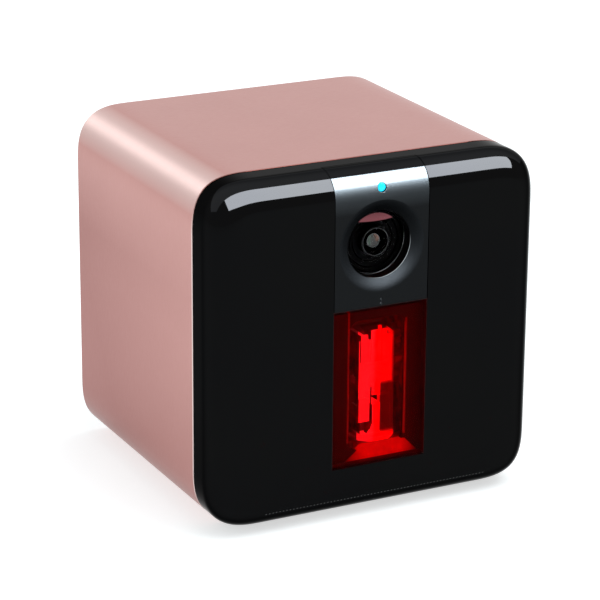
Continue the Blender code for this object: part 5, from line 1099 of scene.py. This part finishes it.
def makeCone():
    facts = {"rollFrom": 11.3 * mm, "rollHigh": 0.8 * mm, "rim": 0.6 * mm, "capRadius": 5.0 * mm,
             "capHigh": 1.5 * mm, "deep": 4.0 * mm, "thick": 0.4 * mm, "steps": 10, "coil": 4.45 * mm}
    low, high, centre, rim = measured("speaker_cone")
    face = high.y - facts["rollHigh"]
    half = (rim - facts["rim"] - facts["rollFrom"]) / 2
    outside = [(rim, 0)]
    for i in range(1, facts["steps"]):
        angle = math.pi * i / facts["steps"]
        outside.append((facts["rollFrom"] + half + half * math.cos(angle), facts["rollHigh"] * math.sin(angle)))
    outside += [(facts["rollFrom"], 0), (facts["capRadius"] + 0.4 * mm, -facts["deep"])]
    for i in range(facts["steps"] + 1):
        angle = math.pi / 2 * i / facts["steps"]
        outside.append((facts["capRadius"] * math.cos(angle), facts["capHigh"] * math.sin(angle) - facts["deep"]))
    inside = [(max(r - 0.02 * mm, 0), h - facts["thick"]) for r, h in reversed(outside)]
    bm = bmesh.new()
    turned(bm, outside + inside, (0, face, centre.z), rear, 72)
    length = face - facts["deep"] - low.y - 0.1 * mm
    tube(bm, facts["capRadius"], facts["coil"], (0, low.y + 0.05 * mm, centre.z), rear, length, 48)
    piece(bm, "cone", [paperCone], ["speaker_cone"], body="speaker_diaphragm", sharp=50)


makeCone()


# Rear cover: satin black plate with the speaker's slots, vents, screw recesses, button hole and socket opening

# Moulded with a fine grain, soft dark grey
satinBlack = surface("grainedBlackPlastic", "#171718", "#1C1C1D", 0.5, cloud=12 * mm, grain=0.28 * mm, spread=0.07,
                     height=0.02 * mm, bump=0.5)
# Zinc plated screw heads, light and slightly cloudy
zincSteel = surface("zincPlatedSteel", "#A9ADB1", "#979BA0", 0.3, cloud=2 * mm, grain=0.05 * mm, spread=0.06,
                    height=0.002 * mm, bump=0.4, Metallic=1.0)
# Moulded rubber feet, dull black
softRubber = surface("mattBlackRubber", "#1B1B1C", "#151516", 0.75, cloud=2 * mm, grain=0.12 * mm, spread=0.08,
                     height=0.01 * mm, bump=0.5)
# Drawn and plated shell of the socket, bright
socketSteel = surface("nickelSocketShell", "#C3C5C7", "#B4B6B9", 0.2, cloud=1.5 * mm, grain=0.06 * mm, spread=0.05,
                      height=0.001 * mm, bump=0.3, Metallic=1.0)
# Turned brass, warm yellow
brassTone = surface("turnedBrass", "#C9A468", "#BE985C", 0.28, cloud=2 * mm, grain=0.06 * mm, spread=0.05,
                    height=0.002 * mm, bump=0.3, Metallic=1.0)


def makeRearCover():
    facts = {"reach": 10.5 * mm, "profile": 0.63, "slots": 9, "pitch": 3.0 * mm, "slot": 1.4 * mm,
             "grille": 13.0 * mm, "vents": 7, "ventPitch": 3.6 * mm, "ventZ": 23.55 * mm, "ventHalf": 3.5 * mm,
             "button": 2.45 * mm, "gap": 0.25 * mm, "screwX": 29.8 * mm, "screwZ": (9.2 * mm, 67.8 * mm),
             "screw": 1.4 * mm, "recess": 2.75 * mm, "recessDeep": 1.35 * mm}
    low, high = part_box("rear_cover")
    near, far = low.y - 1 * mm, high.y + 1 * mm
    speakerZ = measured("speaker_basket")[2].z
    bm = bmesh.new()
    roundBlock(bm, low, high, facts["reach"], 16, facts["profile"])
    openings = []  # x, middle height, half height
    for i in range(facts["slots"]):
        x = (i - (facts["slots"] - 1) / 2) * facts["pitch"]
        openings.append((x, speakerZ, math.sqrt(max(facts["grille"] ** 2 - x * x, facts["slot"] ** 2))))
    for i in range(facts["vents"]):
        x = (i - (facts["vents"] - 1) / 2) * facts["ventPitch"]
        openings.append((x, facts["ventZ"], facts["ventHalf"]))
    half = facts["slot"] / 2
    cutters = [cutter(roundBlock, (x - half, near, z - tall), (x + half, far, z + tall), facts["slot"] * 0.49, 5)
               for x, z, tall in openings]
    centre = measured("setup_button")[2]
    cutters.append(cutter(rod, facts["button"], (centre.x, near, centre.z), rear, 5 * mm, 40))
    socketLow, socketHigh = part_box("power_socket")
    gap = facts["gap"]
    cutters.append(cutter(roundBlock, (socketLow.x - gap, near, socketLow.z - gap),
                          (socketHigh.x + gap, far, socketHigh.z + gap), 0.6 * mm, 4))
    for x in (-facts["screwX"], facts["screwX"]):
        for z in facts["screwZ"]:
            start = (x, high.y - facts["recessDeep"], z)
            cutters.append(cutter(rod, facts["recess"], start, rear, 4 * mm, 40))
            cutters.append(cutter(rod, facts["screw"], (x, near, z), rear, 4 * mm, 24))
    piece(bm, "rearCover", [satinBlack], ["rear_cover"], edge=0.2 * mm, cutters=cutters)


def makeRearScrews():
    facts = {"head": 1.0 * mm, "shank": 1.3 * mm, "tip": 0.8 * mm, "cross": (0.34 * mm, 1.35 * mm),
             "crossDeep": 0.8 * mm}
    head, shank, tip = facts["head"], facts["shank"], facts["tip"]
    for number in (1, 2, 3, 4):
        low, high, centre, radius = measured(f"rear_screw_{number}")
        x, y, z = centre.x, high.y, centre.z
        section = [(0, 0), (1.1 * mm, 0), (radius - 0.35 * mm, 0), (radius, -0.35 * mm), (radius, -head),
                   (shank, -head), (shank, low.y - y + 0.6 * mm), (tip, low.y - y), (0, low.y - y)]
        bm = bmesh.new()
        turned(bm, section, (x, y, z), rear, 48)
        cutters = []
        for halfX, halfZ in (facts["cross"], facts["cross"][::-1]):
            corner = (x - halfX, y - facts["crossDeep"], z - halfZ)
            cutters.append(cutter(block, corner, (x + halfX, y + 1 * mm, z + halfZ)))
        piece(bm, f"rearScrew{number}", [zincSteel], [f"rear_screw_{number}"], edge=0.06 * mm,
              cutters=cutters)


def makeFeet():
    for number in (1, 2, 3, 4):
        low, high, centre, radius = measured(f"foot_{number}")
        tall = high.z - low.z
        section = [(0, 0.12 * mm), (radius * 0.55, 0.12 * mm), (radius * 0.6, 0), (radius - 0.35 * mm, 0),
                   (radius, 0.3 * mm), (radius, tall), (0, tall)]
        bm = bmesh.new()
        turned(bm, section, (centre.x, centre.y, low.z), up, 64)
        piece(bm, f"foot{number}", [softRubber], [f"foot_{number}"], sharp=30)


def makeTripodInsert():
    facts = {"bore": 3.175 * mm, "deep": 7.6 * mm, "pitch": 1.27 * mm, "tooth": 0.35 * mm, "body": 5.0 * mm,
             "flange": 1.0 * mm, "bevel": 0.2 * mm}
    low, high, centre, radius = measured("tripod_insert")
    body, bore, deep, pitch, bevel = (facts[key] for key in ("body", "bore", "deep", "pitch", "bevel"))
    top = high.z - low.z
    ledge = top - facts["flange"]
    section = [(body - bevel, 0), (body, bevel), (body, ledge), (radius, ledge), (radius, top - bevel),
               (radius - bevel, top), (0, top), (0, deep), (bore, deep)]
    for i in range(int((deep - 0.4 * mm) / pitch) - 1, -1, -1):
        level = i * pitch
        section += [(bore, level + pitch), (bore, level + pitch * 0.85),
                    (bore + facts["tooth"], level + pitch * 0.45)]
    section.append((bore + 0.5 * mm, 0))
    bm = bmesh.new()
    turned(bm, section, (0, centre.y, low.z), up, 72, closed=True)
    piece(bm, "tripodInsert", [brassTone], ["tripod_insert"], sharp=28)


def makeSocket():
    facts = {"wall": 0.35 * mm, "depth": 4.6 * mm, "tongue": 0.6 * mm, "tongueHalf": 1.85 * mm,
             "tongueBack": 1.0 * mm}
    low, high, centre, width = measured("power_socket")
    wall, back = facts["wall"], high.y - facts["depth"]
    bm = bmesh.new()
    roundBlock(bm, low, high, 0.8 * mm, 4)
    mouth = cutter(roundBlock, (low.x + wall, back, low.z + wall), (high.x - wall, high.y + 1 * mm, high.z - wall),
                   0.5 * mm, 4)
    piece(bm, "socketShell", [socketSteel], ["power_socket"], edge=0.06 * mm, cutters=[mouth])
    bm = bmesh.new()
    halfX, halfZ = facts["tongueHalf"], facts["tongue"] / 2
    block(bm, (centre.x - halfX, back - 0.1 * mm, centre.z - halfZ),
          (centre.x + halfX, high.y - facts["tongueBack"], centre.z + halfZ))
    piece(bm, "socketTongue", [satinBlack], edge=0.08 * mm)


def makeButton():
    facts = {"shaft": 2.15 * mm, "cap": 3.65 * mm, "collar": 0.8 * mm, "stem": 0.7 * mm}
    shaft, cap, collar, stem = (facts[key] for key in ("shaft", "cap", "collar", "stem"))
    low, high, centre, flange = measured("setup_button")
    length = high.y - low.y
    section = [(0, -0.35 * mm), (shaft * 0.45, -0.25 * mm), (shaft * 0.75, -0.05 * mm), (shaft - 0.25 * mm, 0),
               (shaft, -0.25 * mm), (shaft, collar - cap), (flange, collar - cap), (flange, -cap),
               (stem, -cap), (stem, -length), (0, -length)]
    bm = bmesh.new()
    turned(bm, section, (centre.x, high.y, centre.z), rear, 56)
    piece(bm, "setupButton", [satinBlack], ["setup_button"], body="button", sharp=30)


makeRearCover()
makeRearScrews()
makeFeet()
makeTripodInsert()
makeSocket()
makeButton()
print("rear and base ready")


# Finishes of the CAD pieces that stay: each slot has its own procedural material.

def makeFinishes():
    # bright cans of the two motors, drawn steel
    motorSteel = surface("motorSteel", "#B8BABC", "#A8ABAE", 0.3, cloud=3 * mm, grain=0.08 * mm, stretch=(1, 1, 6),
                         spread=0.05, height=0.002 * mm, bump=0.3, Metallic=1.0)
    # black moulded walls with a faint painted red glow, where the red diodes barely light them
    chamber = litSurface("blackChamberWallPaintedGlow", "#1C0303", "#C80408", 0.004, 0.012, streak=0.05, rough=0.55)
    finishes = {
        "matt_black": satinBlack,
        "steel": zincSteel,
        "black_rubber": softRubber,
        "brass": brassTone,
        "coated_glass": lensGlass,
        "white_acetal": dimWhite,
        # green lacquer over copper, half gloss
        "solder_mask": surface("greenSolderMask", "#0F5A34", "#12653B", 0.35, cloud=4 * mm, grain=0.4 * mm,
                               spread=0.08, height=0.01 * mm, bump=0.4),
        # turned aluminium, bright and even
        "bare_aluminium": surface("turnedAluminium", "#B9BCBE", "#ABAEB1", 0.28, cloud=3 * mm, grain=0.06 * mm,
                                  spread=0.05, height=0.002 * mm, bump=0.3, Metallic=1.0),
        # smooth dark glass with a bluish sheen
        "sensor_glass": surface("sensorGlass", "#1B2A33", "#2A1F33", 0.08, cloud=2 * mm, grain=0.05 * mm,
                                spread=0.03, height=0.001 * mm, bump=0.2),
        # sintered magnet, dull dark grey
        "ferrite": surface("sinteredFerrite", "#3A3B3D", "#313234", 0.6, cloud=3 * mm, grain=0.2 * mm, spread=0.1,
                           height=0.02 * mm, bump=0.5),
        "paper_cone": paperCone,
    }
    special = {"laser_chamber": chamber, "tilt_motor": motorSteel, "pan_motor": motorSteel}
    for name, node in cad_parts.items():
        for place in node.material_slots:
            wanted = special.get(name) or finishes.get(place.material.name.split(".")[0])
            if wanted:
                place.material = wanted


makeFinishes()
print("finishes ready")


addSoftbox("band", [nose, panel])
addSoftbox("noseTop", [nose, panel])
keepOff(softLamps, [nose, panel])
